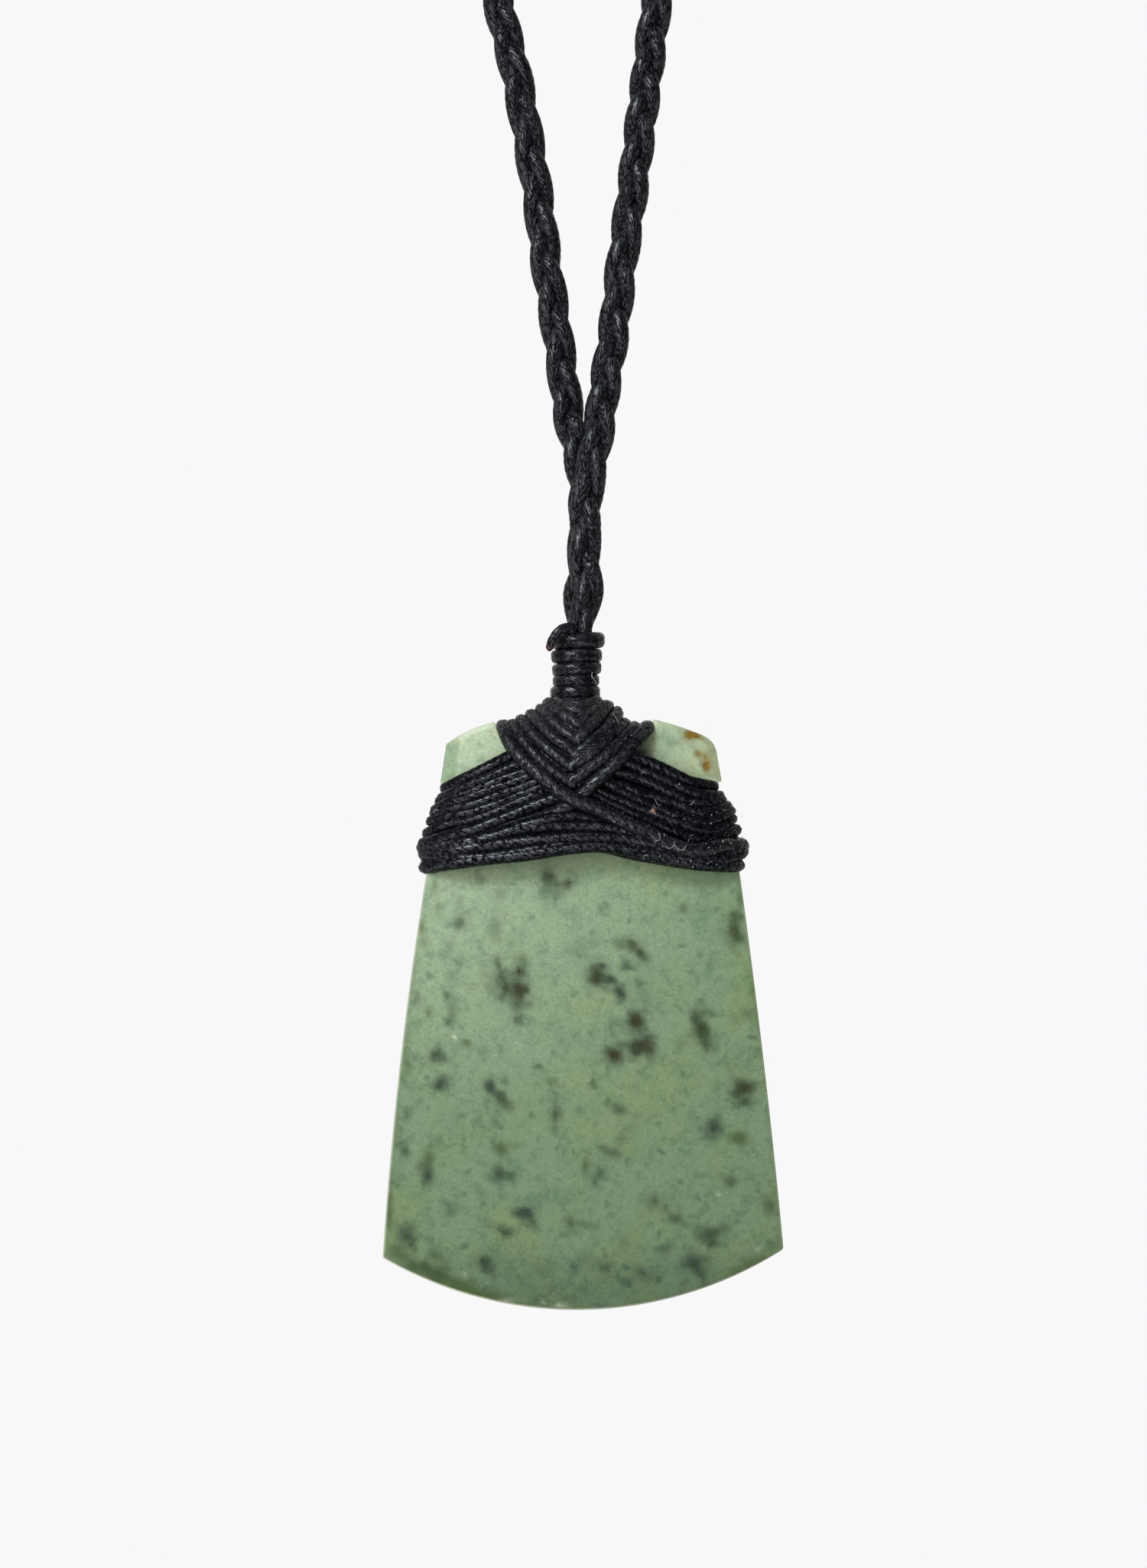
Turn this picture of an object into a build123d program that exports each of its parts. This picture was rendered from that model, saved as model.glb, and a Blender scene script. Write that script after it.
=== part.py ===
from build123d import *
import math
import os

# A stone adze pendant lashed with waxed thread to a plaited neck cord.
# Millimetres, +Z up, the pendant's face looks along -Y.
# The origin is under the join at the nape, where the loop of cord is hung.

# The stone, measured on its face
blade_height = 39.35        # top of the head to the lowest point of the cutting edge
blade_width = 26.15         # between the two corners of the cutting edge
blade_thickness = 4.8       # on the middle line, at the shoulders
edge_sag = 3.75             # the cutting edge's lowest point, below its corners
edge_skew = 0.85            # the right corner stands this much above the left one
side_bow = 0.3              # how far each side of the blade bows outwards
shoulder_width = 20.6       # across the top of the bare blade, under the lashing
shoulder_step = 0.25        # from the lower end of the thread's seat to the shoulders
head_top_width = 17.4       # across the head's upper corners
head_base_width = 18.5      # across the head's two lugs
head_arch = 2.3             # rise of the head's top over its corners
head_height = 5.0           # top of the head to the underside of the lugs
notch_depth = 1.1           # cut in on each side under the lugs
notch_slope = 0.1           # fall of the lugs' underside from tip to root
seat_bottom_width = 19.3    # across the lower end of that flank
saddle_width = 10.35        # the hollow in the head's top that the collar lies in
saddle_depth = 2.05         # the saddle's two ends, below the top of the head
saddle_arch = 1.1           # rise of the saddle's middle over its ends
bow_along = 220             # radius of the faces from top to bottom
bow_across = 160            # radius of the faces from side to side
lug_bevel = 0.7             # flat bevel round the head
edge_bevel = 0.3            # softened edge of the blade

# The thread and the lashing
thread = 0.95               # diameter
gap = 0.1                   # left between neighbouring pieces
lash_shift = -0.5           # the collar and whipping stand left of the stone's middle
turn_corner = 0.9           # bend of the thread round the stone's edges
shoulder_turns = 8
flank_span = 4.65           # first to last turn, at the sides
middle_span = 7.65          # first to last turn, at the middle
first_peak_drop = 1.35      # peak of the first turn, below the top of the head
peak_bend = 1.6             # bend of the thread at each peak
collar_turns = 6
collar_spread = 9.2         # between the two ends of the outermost turn
collar_neck = 3.4           # between the two ends of the innermost turn
collar_pile = 0.37          # the innermost turn lies this much off the saddle
collar_drop = 6.15          # lowest point of the outermost turn, below the head's top
collar_neck_drop = 1.3      # lowest point of the innermost turn
collar_step = 1.6           # run of thread over which a turn climbs onto the shoulder turns
collar_climb = 0.4          # the most of its leg that a short turn may take to climb
step_bend = 0.7
collar_bend = 0.7           # bend of the thread at the foot of each V

# The whipping over the head, and the thread's end beside it
whipping_turns = 5
whipping_pitch = 0.86
whipping_lift = 0.55        # its underside, above the top of the head
bundle_width = 1.45         # a cord's strands where the whipping squeezes them
tail_thread = 0.75          # the thread's flattened end
tail_bead = 0.85            # the melted tip
tail_length = 1.7           # how far it hangs down beside the whipping
tail_rise = 0.45            # its bend, above the whipping
tail_bend = 0.5

# The neck cord
cord_width = 2.1            # across a three-strand plait
nape_radius = 40            # the cord's bend at the nape
run_lean = 8.75             # degrees off the vertical, each run
merge_height = 7.8          # over the whipping, where the runs meet and part
merge_radius = 45
join_overlap = 9.0          # the two ends lie side by side at the nape
join_turns = 5
join_clearance = 0.2

thread_radius = thread / 2
cord_radius = cord_width / 2
seat_clearance = thread_radius + gap    # from a surface to the thread lying on it
seat_height = notch_slope + flank_span + 2 * seat_clearance    # the flank under the shoulder turns

# Heights, from the nape down to the cutting edge
cord_top_z = thread + join_clearance + cord_radius
nape_centre_z = cord_top_z - nape_radius
lean = math.radians(run_lean)
merge_z = nape_centre_z - nape_radius / math.sin(lean)
whipping_top_z = merge_z - merge_height
whipping_height = (whipping_turns - 1) * whipping_pitch + thread
head_top_z = whipping_top_z - whipping_height - whipping_lift
lug_z = head_top_z - head_height
seat_end_z = lug_z - seat_height
shoulder_z = seat_end_z - shoulder_step
edge_z = head_top_z - blade_height
corner_z = edge_z + edge_sag
half_thickness = blade_thickness / 2


def face_depth(x, z):
    """How far the stone's face stands from its middle plane."""
    fall_along = (z - shoulder_z) ** 2 / (2 * bow_along)
    fall_across = x ** 2 / (2 * bow_across)
    return half_thickness - fall_along - fall_across


def seat_half_width(z):
    """Half the stone's width where the shoulder turns lie."""
    share = (lug_z - z) / seat_height
    top = head_base_width / 2 - notch_depth
    return top + share * (seat_bottom_width / 2 - top)


def saddle_z(x):
    """Height of the saddle, x being measured from its middle."""
    return head_top_z - saddle_depth + saddle_arch * (1 - (2 * x / saddle_width) ** 2)


def between(first, last, step, steps):
    return first + (last - first) * step / (steps - 1)


def stone_side(side):
    """One side of the stone's outline, side being -1 for left and 1 for right."""
    shoulder = (side * shoulder_width / 2, shoulder_z)
    corner = (side * blade_width / 2, corner_z + side * edge_skew / 2)
    bow_x = side * ((shoulder_width + blade_width) / 4 + side_bow)
    Polyline(
        (side * head_top_width / 2, head_top_z - head_arch),
        (side * head_base_width / 2, lug_z),
        (side * (head_base_width / 2 - notch_depth), lug_z - notch_slope),
        (side * seat_bottom_width / 2, seat_end_z),
        shoulder,
    )
    ThreePointArc(shoulder, (bow_x, (shoulder[1] + corner[1]) / 2), corner)


def on_a_face(edge):
    """True for an edge that bounds the front or back face of the stone."""
    runs_through = abs((edge % 0.5).Y) > 0.5
    return not runs_through and abs((edge @ 0.5).Y) > gap


# The lens that both faces of the stone are ground to
with BuildPart() as face_lens:
    lens_centre_y = bow_along - half_thickness
    lens_half = blade_width
    rim_y = lens_half ** 2 / (2 * bow_across) - half_thickness
    with BuildSketch(Plane.XY.offset(shoulder_z)):
        with BuildLine():
            ThreePointArc((-lens_half, rim_y), (0, -half_thickness), (lens_half, rim_y))
            Polyline((lens_half, rim_y), (lens_half, lens_centre_y),
                     (-lens_half, lens_centre_y), (-lens_half, rim_y))
        make_face()
    revolve(axis=Axis((0, lens_centre_y, shoulder_z), (1, 0, 0)))

# The stone: its outline, ground to the lens, with a saddle for the collar
with BuildPart() as toki_blade:
    with BuildSketch(Plane.XZ):
        with BuildLine():
            stone_side(-1)
            stone_side(1)
            head_corner_z = head_top_z - head_arch
            ThreePointArc((-head_top_width / 2, head_corner_z), (0, head_top_z),
                          (head_top_width / 2, head_corner_z))
            ThreePointArc((-blade_width / 2, corner_z - edge_skew / 2), (0, edge_z),
                          (blade_width / 2, corner_z + edge_skew / 2))
        make_face()
    extrude(amount=blade_thickness, both=True)
    add(face_lens.part, mode=Mode.INTERSECT)
    add(mirror(face_lens.part, about=Plane.XZ, mode=Mode.PRIVATE), mode=Mode.INTERSECT)
    saddle_end_z = saddle_z(saddle_width / 2)
    saddle_left = lash_shift - saddle_width / 2
    saddle_right = lash_shift + saddle_width / 2
    with BuildSketch(Plane.XZ):
        with BuildLine():
            ThreePointArc((saddle_left, saddle_end_z), (lash_shift, saddle_z(0)),
                          (saddle_right, saddle_end_z))
            Polyline((saddle_right, saddle_end_z), (saddle_right, head_top_z + thread),
                     (saddle_left, head_top_z + thread), (saddle_left, saddle_end_z))
        make_face()
    extrude(amount=blade_thickness, both=True, mode=Mode.SUBTRACT)
    head_edges = [edge for edge in toki_blade.edges() if on_a_face(edge)
                  and (edge @ 0.5).Z > lug_z
                  and abs((edge @ 0.5).X - lash_shift) > saddle_width / 2 + gap]
    chamfer(head_edges, lug_bevel)
    blade_edges = [edge for edge in toki_blade.edges() if on_a_face(edge)
                   and (edge @ 0.5).Z < lug_z - notch_depth]
    chamfer(blade_edges, edge_bevel)


def sweep_thread(route, diameter):
    """Sweep a round thread along a route, into the part being built."""
    with BuildSketch(Plane(origin=route @ 0, z_dir=route % 0)) as section:
        Circle(diameter / 2)
    sweep(section.sketch, path=route)


def wind_turn(front_points, front_bends):
    """One closed turn of thread: the front's points, left to right, then the same behind."""
    back_points = [(x, -y, z) for x, y, z in reversed(front_points)]
    bends = front_bends + front_bends[::-1]
    with BuildLine() as route:
        FilletPolyline(*front_points, *back_points, radius=bends, close=True)
    sweep_thread(route.line, thread)


# The shoulder turns: each an upturned V on the face, level round the flanks
with BuildPart() as shoulder_lashing:
    first_flank_z = lug_z - notch_slope - seat_clearance
    first_peak_z = head_top_z - first_peak_drop
    for turn in range(shoulder_turns):
        flank_z = between(first_flank_z, first_flank_z - flank_span, turn, shoulder_turns)
        peak_z = between(first_peak_z, first_peak_z - middle_span, turn, shoulder_turns)
        flank_x = seat_half_width(flank_z) + seat_clearance
        # A straight leg stays off the bow of the face halfway along
        flank_y = -(face_depth(flank_x, flank_z) + half_thickness) / 2 - seat_clearance
        peak_y = -half_thickness - seat_clearance
        wind_turn([(-flank_x, flank_y, flank_z), (0, peak_y, peak_z), (flank_x, flank_y, flank_z)],
                  [turn_corner, peak_bend, turn_corner])

# The collar: nested Vs over the head, each climbing onto the shoulder turns
with BuildPart() as collar_lashing:
    on_shoulder_turns = -half_thickness - seat_clearance - thread - gap
    for turn in range(collar_turns):
        half_spread = between(collar_spread, collar_neck, turn, collar_turns) / 2
        top_z = saddle_z(half_spread) + seat_clearance + between(0, collar_pile, turn, collar_turns)
        low_z = head_top_z - between(collar_drop, collar_neck_drop, turn, collar_turns)
        top_y = -face_depth(half_spread, top_z) - seat_clearance
        leg = math.hypot(half_spread, top_z - low_z)
        climb = min(collar_step / leg, collar_climb)
        step_x = half_spread * (1 - climb)
        step_z = top_z + (low_z - top_z) * climb
        wind_turn([(lash_shift - half_spread, top_y, top_z),
                   (lash_shift - step_x, on_shoulder_turns, step_z),
                   (lash_shift, on_shoulder_turns, low_z),
                   (lash_shift + step_x, on_shoulder_turns, step_z),
                   (lash_shift + half_spread, top_y, top_z)],
                  [step_bend, step_bend, collar_bend, step_bend, step_bend])

# The whipping: close turns round the two squeezed cords
bundle_y = (bundle_width + gap) / 2
whip_x = bundle_width / 2 + seat_clearance
whip_y = bundle_y + whip_x
whip_bend = whip_x - gap
with BuildPart() as neck_whipping:
    for turn in range(whipping_turns):
        turn_z = whipping_top_z - thread_radius - turn * whipping_pitch
        wind_turn([(lash_shift - whip_x, -whip_y, turn_z), (lash_shift + whip_x, -whip_y, turn_z)],
                  [whip_bend, whip_bend])

# The thread's end: out over the whipping and down its left front
with BuildPart() as thread_end:
    tail_radius = tail_thread / 2
    tail_reach = whip_x + thread_radius + tail_radius + gap
    tail_x = lash_shift - tail_reach * math.sin(math.radians(45))
    tail_y = -bundle_y - tail_reach * math.cos(math.radians(45))
    tail_top_z = whipping_top_z + tail_radius + tail_rise
    tail_tip = (tail_x, tail_y, whipping_top_z - tail_length)
    with BuildLine() as tail_route:
        FilletPolyline((lash_shift - whip_x, -bundle_y, whipping_top_z + gap),
                       (lash_shift - whip_x, -bundle_y, tail_top_z),
                       (tail_x, tail_y, tail_top_z), tail_tip, radius=tail_bend)
    sweep_thread(tail_route.line, tail_thread)
    with Locations(tail_tip):
        Sphere(tail_bead / 2)


def neck_run(side):
    """One run of the neck cord: up from the whipping, out, and round to the nape."""
    # The left run lies behind the right one, so that they pass where they meet
    behind = -side * (cord_width + gap) / 2
    turn_in = merge_radius * math.tan(lean / 2)
    tangent_x = side * nape_radius * math.cos(lean)
    tangent_z = nape_centre_z - nape_radius * math.sin(lean)
    past_nape = math.degrees(join_overlap / 2 / nape_radius)
    with BuildLine(Plane.XZ.offset(-behind)) as route:
        upright = Line((0, whipping_top_z + gap), (0, merge_z - turn_in))
        parting = JernArc(upright @ 1, upright % 1, merge_radius, -side * run_lean)
        straight = Line(parting @ 1, (tangent_x, tangent_z))
        JernArc(straight @ 1, straight % 1, nape_radius, side * (90 + run_lean + past_nape))
    sweep_thread(route.line, cord_width)
    # The strands run straight down through the whipping to the stone
    bundle_end_z = saddle_z(0) + gap
    bundle_top_z = whipping_top_z + gap + cord_radius / 2
    with BuildSketch(Plane.XY.offset(bundle_end_z)) as bundle:
        with Locations((lash_shift, -side * bundle_y)):
            Circle(bundle_width / 2)
    extrude(bundle.sketch, amount=bundle_top_z - bundle_end_z)
    return route.wires()[0].length


with BuildPart() as neck_plait_left:
    left_length = neck_run(-1)

with BuildPart() as neck_plait_right:
    right_length = neck_run(1)

# The join at the nape: close turns round the two ends, lying side by side
join_half_height = cord_radius + join_clearance + thread_radius
join_half_depth = cord_width + gap / 2 + join_clearance + thread_radius
join_bend = join_half_height - gap
with BuildPart() as nape_whipping:
    for turn in range(join_turns):
        turn_x = (turn - (join_turns - 1) / 2) * whipping_pitch
        with BuildLine() as join_route:
            FilletPolyline((turn_x, -join_half_depth, cord_top_z - join_half_height),
                           (turn_x, -join_half_depth, cord_top_z + join_half_height),
                           (turn_x, join_half_depth, cord_top_z + join_half_height),
                           (turn_x, join_half_depth, cord_top_z - join_half_height),
                           radius=join_bend, close=True)
        sweep_thread(join_route.line, thread)

pieces = {
    "toki_blade": toki_blade,
    "shoulder_lashing": shoulder_lashing,
    "collar_lashing": collar_lashing,
    "neck_whipping": neck_whipping,
    "thread_end": thread_end,
    "neck_plait_left": neck_plait_left,
    "neck_plait_right": neck_plait_right,
    "nape_whipping": nape_whipping,
}
os.makedirs("parts", exist_ok=True)
for name, piece in pieces.items():
    piece.part.label = name
    export_step(piece.part, f"parts/{name}.step")

loop_length = left_length + right_length - join_overlap
cord_section = math.pi * cord_radius ** 2
print(f"loop of cord {loop_length:.1f} mm, whipping to whipping")
print(f"bends: {merge_radius} mm where the runs part, {nape_radius} mm at the nape")
print(f"one run's tube by section and length {cord_section * left_length:.1f} mm3,"
      f" built {neck_plait_left.part.volume:.1f} mm3 with its squeezed end")
print(f"top of the head at {head_top_z:.2f}, cutting edge at {edge_z:.2f}")
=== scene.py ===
import math
import bpy
import numpy as np
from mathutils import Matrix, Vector, noise


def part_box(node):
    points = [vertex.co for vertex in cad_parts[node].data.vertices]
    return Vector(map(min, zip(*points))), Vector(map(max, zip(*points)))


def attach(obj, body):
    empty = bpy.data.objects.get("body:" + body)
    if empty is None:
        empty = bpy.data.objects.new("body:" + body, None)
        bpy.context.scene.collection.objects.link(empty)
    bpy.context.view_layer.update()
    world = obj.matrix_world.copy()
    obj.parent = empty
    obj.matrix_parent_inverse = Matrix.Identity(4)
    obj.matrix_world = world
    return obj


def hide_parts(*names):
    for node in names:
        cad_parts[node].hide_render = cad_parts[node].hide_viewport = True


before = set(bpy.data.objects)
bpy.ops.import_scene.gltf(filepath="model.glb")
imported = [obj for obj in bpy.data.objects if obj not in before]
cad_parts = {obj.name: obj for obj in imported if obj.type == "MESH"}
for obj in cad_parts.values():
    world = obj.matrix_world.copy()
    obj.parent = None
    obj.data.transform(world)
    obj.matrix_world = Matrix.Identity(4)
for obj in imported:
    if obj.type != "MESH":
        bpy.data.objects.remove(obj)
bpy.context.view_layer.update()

# What the photograph shows is charted in its pixels. Everything else is in millimetres, and turns
# into metres where an object is made.
mm = 0.001
photo = {
    "wide": 1500,
    "tall": 2050,
    "perMm": 20,          # pixels to a millimetre, on the stone's face
    "middleX": 762,       # column of the stone's middle line
    "headTopY": 925,      # row of the head's top
    "lens": 100,
    "sensor": 36,
}
stone = {
    "height": 39.35,      # top of the head to the cutting edge
    "halfThick": 2.4,
    "shoulderDrop": 11.25,    # from the head's top down to where the stone is thickest
    "bowAlong": 220,      # radius of the faces, top to bottom
    "bowAcross": 160,     # and side to side
}


def boxOf(node):
    # a node's lowest and highest corners, in millimetres
    return [np.array(corner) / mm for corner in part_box(node)]


headTop = boxOf("toki_blade")[0][2] + stone["height"]
faceY = -stone["halfThick"]
eyeBack = photo["tall"] / photo["perMm"] * photo["lens"] / photo["sensor"]
eyeX = (photo["wide"] / 2 - photo["middleX"]) / photo["perMm"]
eyeZ = headTop - (photo["tall"] / 2 - photo["headTopY"]) / photo["perMm"]
eyeY = faceY - eyeBack


def fromPhoto(column, row, depth=faceY):
    # x and z of what shows at that pixel, for a thing that lies at that depth
    spread = (depth - eyeY) / eyeBack / photo["perMm"]
    return eyeX + (column - photo["wide"] / 2) * spread, eyeZ - (row - photo["tall"] / 2) * spread


def faceDepth(x, z):
    # how far the ground face stands from the stone's middle plane
    down = z - (headTop - stone["shoulderDrop"])
    return stone["halfThick"] - down ** 2 / (2 * stone["bowAlong"]) - x ** 2 / (2 * stone["bowAcross"])


# Lines and meshes

def runAlong(line):
    # distance along the line to each of its points
    return np.concatenate([[0], np.cumsum(np.linalg.norm(np.diff(line, axis=0), axis=1))])


def pointsAt(places, run, line):
    return np.column_stack([np.interp(places, run, way) for way in line.T])


def smoothLine(points, step, closed=False, cuts=60, spare=3):
    # a smooth line through the points, cut at even steps. It is first worked out at so many cuts
    # from one point to the next. A closed one repeats the spare points past its ends.
    points = np.asarray(points, float)
    ring = np.vstack([points[-spare:], points, points[:spare + 1]]) if closed else points
    gaps = np.linalg.norm(np.diff(ring, axis=0), axis=1)
    knots = np.concatenate([[0], np.cumsum(np.sqrt(gaps))])
    slopes = np.gradient(ring, knots, axis=0)
    first, last = (spare, spare + len(points)) if closed else (0, len(ring) - 1)
    at = np.linspace(knots[first], knots[last], cuts * (last - first) + 1)
    span = np.clip(np.searchsorted(knots, at, side="right") - 1, first, last - 1)
    width = (knots[span + 1] - knots[span])[:, None]
    t = (at[:, None] - knots[span][:, None]) / width
    fine = (ring[span] * (1 + 2 * t) * (1 - t) ** 2 + slopes[span] * width * t * (1 - t) ** 2
            + ring[span + 1] * t * t * (3 - 2 * t) + slopes[span + 1] * width * t * t * (t - 1))
    run = runAlong(fine)
    count = max(3, int(round(run[-1] / step)))
    line = pointsAt(np.linspace(0, run[-1], count + 1), run, fine)
    return line[:-1] if closed else line


def ramp(values, low, high):
    # 0 at low, 1 at high and straight between them, whichever of the two is larger
    return np.clip((values - low) / (high - low), 0, 1)


def easeIn(run, reach):
    part = np.clip(run / reach, 0, 1)
    return part * part * (3 - 2 * part)


def softened(values, span):
    # each value becomes the mean of that many neighbours
    return np.convolve(np.pad(values, span // 2, mode="edge"), np.ones(span) / span, mode="valid")


def roundEnds(run, reach, least):
    # how much a thread is drawn in near its two ends
    return np.clip(np.minimum(run, run[-1] - run) / reach, least, 1) ** 0.5


def addObject(name, data):
    made = bpy.data.objects.new(name, data)
    bpy.context.scene.collection.objects.link(made)
    return made


def meshOf(name, points, quads, uvs=None, extra=(), smooth=True):
    # points in millimetres, quads as rows of four, uvs one for each corner of each quad
    mesh = bpy.data.meshes.new(name)
    mesh.vertices.add(len(points))
    mesh.vertices.foreach_set("co", (np.asarray(points) * mm).astype(np.float32).ravel())
    mesh.loops.add(len(quads) * 4)
    mesh.loops.foreach_set("vertex_index", np.asarray(quads, np.int32).ravel())
    mesh.polygons.add(len(quads))
    mesh.polygons.foreach_set("loop_start", np.arange(len(quads), dtype=np.int32) * 4)
    mesh.polygons.foreach_set("use_smooth", np.full(len(quads), smooth))
    if uvs is not None:
        layer = mesh.uv_layers.new(name="threadMap")
        layer.data.foreach_set("uv", np.asarray(uvs, np.float32).ravel())
    for label, values in extra:
        attribute = mesh.attributes.new(label, "FLOAT", "POINT")
        attribute.data.foreach_set("value", np.asarray(values, np.float32))
    mesh.update(calc_edges=True)
    mesh.validate()
    print(name, 2 * len(quads), "triangles")
    return addObject(name, mesh)


def gridQuads(rows, columns, wrapRows=False, wrapColumns=False):
    r = np.arange(rows if wrapRows else rows - 1)[:, None]
    c = np.arange(columns if wrapColumns else columns - 1)[None, :]
    right, down = (c + 1) % columns, (r + 1) % rows
    corners = [r * columns + c, r * columns + right, down * columns + right, down * columns + c]
    return np.stack(corners, axis=-1).reshape(-1, 4)


def carryFrames(path, closed, hint=(0.13, -0.9, 0.41)):
    # a pair of directions square to the path, carried along it without twist. The hint is any
    # direction that the path doesn't start in
    ahead = np.roll(path, -1, axis=0) - np.roll(path, 1, axis=0)
    if not closed:
        ahead[0], ahead[-1] = path[1] - path[0], path[-1] - path[-2]
    ahead /= np.linalg.norm(ahead, axis=1)[:, None]
    side = np.cross(ahead[0], hint)
    sides = np.empty_like(path)
    for k, direction in enumerate(ahead):
        side = side - direction * (side @ direction)
        side = side / math.sqrt(side @ side)
        sides[k] = side
    if closed:
        last = sides[-1] - ahead[0] * (sides[-1] @ ahead[0])
        other = np.cross(ahead[0], sides[0])
        slip = math.atan2(last @ other, last @ sides[0])
        turn = -slip * np.arange(len(path)) / len(path)
        sides = sides * np.cos(turn)[:, None] + np.cross(ahead, sides) * np.sin(turn)[:, None]
    return sides, np.cross(ahead, sides)


braid = {
    "rows": 4,            # rows of slanted grains round the thread
    "grain": 0.53,        # from one grain to the next
    "shear": 1.7,         # how far a grain leans, in grains, across its row
    "relief": 0.045,
    "crease": 0.3,        # height left in the creases, where the crown of a grain is 1
    "level": 0.6,         # the height that lies on the thread's radius
    "flatPower": 2.8,     # section of a flattened thread: 2 is a circle, more is squarer
}


def braidHeight(along, around):
    # 1 on the crown of a grain, less in the creases between grains
    row = np.floor(around * braid["rows"])
    across = around * braid["rows"] - row - 0.5
    lean = np.where(row % 2 < 1, 1, -1) * across * braid["shear"]
    length = (along / braid["grain"] + lean) % 1 - 0.5
    crown = np.cos(math.pi * across) ** 0.5
    return crown * (braid["crease"] + (1 - braid["crease"]) * np.cos(math.pi * length))


def threadRings(path, radius, sides, closed=False, relief=1.0, start=0.0, ends=None, deep=1.0, flat=False):
    # rings of points round a path, their quads and a map that runs along and around the thread.
    # Deep stretches the section one way, and flat squares it.
    a, b = carryFrames(path, closed, (0, 0, 1)) if flat else carryFrames(path, closed)
    along = start + runAlong(np.vstack([path, path[:1]]))
    around = np.arange(sides) / sides
    turn = 2 * math.pi * around
    height = braidHeight(along[:-1, None], around[None, :])
    size = np.broadcast_to(np.asarray(radius, float), (len(path),))[:, None]
    if flat:
        power = braid["flatPower"]
        size = size / (abs(np.cos(turn)) ** power + abs(np.sin(turn)) ** power) ** (1 / power)
    reach = size + (height - braid["level"]) * braid["relief"] * np.reshape(relief, (-1, 1))
    if ends is not None:
        reach = reach * ends[:, None]
    points = (path[:, None, :] + a[:, None, :] * (np.cos(turn) * reach)[..., None]
              + b[:, None, :] * (np.sin(turn) * reach * deep)[..., None])
    spans = len(path) if closed else len(path) - 1
    quads = gridQuads(len(path), sides, wrapRows=closed, wrapColumns=True)[:, ::-1]
    rowOf = np.repeat(np.arange(spans), sides)
    u, v = np.tile(around, spans), along[rowOf]
    nextU, nextV = u + 1 / sides, along[rowOf + 1]
    corners = (u, nextV), (nextU, nextV), (nextU, v), (u, v)
    uvs = np.stack([np.stack(corner, -1) for corner in corners], axis=1)
    return points.reshape(-1, 3), quads, uvs


def capQuads(first, sides):
    # closes a tube's drawn-in end, whose ring of points starts at that number
    return np.array([(first + sides - 1 - k, first + sides - 2 - k, first + k + 1, first + k)
                     for k in range(sides // 2 - 1)])


class Bundle:
    # gathers several threads into one mesh
    def __init__(self):
        self.points, self.quads, self.uvs, self.count = [], [], [], 0

    def join(self, points, quads, uvs):
        self.points.append(points)
        self.quads.append(quads + self.count)
        self.uvs.append(uvs)
        self.count += len(points)

    def add(self, path, radius, sides, closed=False, **how):
        points, quads, uvs = threadRings(np.asarray(path, float), radius, sides, closed, **how)
        if not closed:
            last = capQuads((len(path) - 1) * sides, sides)
            first = capQuads(0, sides)[:, ::-1]
            quads = np.vstack([quads, last, first])
            uvs = np.concatenate([uvs, np.zeros((len(last) + len(first), 4, 2))])
        self.join(points, quads, uvs)

    def piece(self, name):
        return meshOf(name, np.vstack(self.points), np.vstack(self.quads), np.concatenate(self.uvs))


def finishPiece(piece, slot, material, *nodes):
    # a piece without nodes is one that no solid stands for
    piece.data.materials.append(material)
    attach(piece, "root")
    if nodes:
        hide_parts(*nodes)


# Shader maths

class Wire:
    # one output in a material's nodes. Sums and products of wires add Math nodes.
    def __init__(self, tree, socket=None):
        self.tree, self.socket = tree, socket

    def node(self, kind, settings=None, sockets=None, out=0):
        made = self.tree.nodes.new(kind)
        for name, value in (settings or {}).items():
            setattr(made, name, value)
        for name, value in (sockets or {}).items():
            if isinstance(value, Wire):
                self.tree.links.new(value.socket, made.inputs[name])
            else:
                made.inputs[name].default_value = value
        return Wire(self.tree, made.outputs[out])

    def math(self, operation, *values):
        # this wire is the first value
        return self.node("ShaderNodeMath", {"operation": operation}, dict(enumerate((self, *values))))

    def __add__(self, other):
        return self.math("ADD", other)

    def __sub__(self, other):
        return self.math("SUBTRACT", other)

    def __rsub__(self, other):
        return self.node("ShaderNodeMath", {"operation": "SUBTRACT"}, {0: other, 1: self})

    def __mul__(self, other):
        return self.math("MULTIPLY", other)

    __radd__, __rmul__ = __add__, __mul__

    def millimetres(self):
        # the place on the object, in millimetres
        return self.node("ShaderNodeTexCoord", None, None, 3).scaled(1 / mm)

    def part(self, axis):
        # x, y or z of this vector, as 0, 1 or 2
        return self.node("ShaderNodeSeparateXYZ", None, {0: self}, axis)

    def colour(self, *shade):
        plain = self.node("ShaderNodeRGB")
        plain.socket.default_value = (*shade, 1)
        return plain

    def mixed(self, other, share):
        # this colour, turned into the other by that share
        return self.node("ShaderNodeMix", {"data_type": "RGBA"}, {0: share, 6: self, 7: other}, 2)

    def scaled(self, factor):
        return self.node("ShaderNodeVectorMath", {"operation": "SCALE"}, {0: self, 3: factor})

    def stretched(self, *factors):
        return self.node("ShaderNodeVectorMath", {"operation": "MULTIPLY"}, {0: self, 1: factors})

    def noise(self, scale, detail=2, roughness=0.5, distortion=0, out=0):
        sockets = {"Vector": self, "Scale": scale, "Detail": detail, "Roughness": roughness,
                   "Distortion": distortion}
        return self.node("ShaderNodeTexNoise", None, sockets, out)

    def between(self, low, high, kind="SMOOTHSTEP"):
        # 0 up to low, 1 from high on and smooth between them
        sockets = {"Value": self, 1: low, 2: high, 3: 0, 4: 1}
        return self.node("ShaderNodeMapRange", {"interpolation_type": kind}, sockets)

    def bumped(self, strength, distance):
        # this height, as a bump for the shader's normal
        sockets = {"Strength": strength, "Distance": distance * mm, "Height": self}
        return self.node("ShaderNodeBump", None, sockets)


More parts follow.
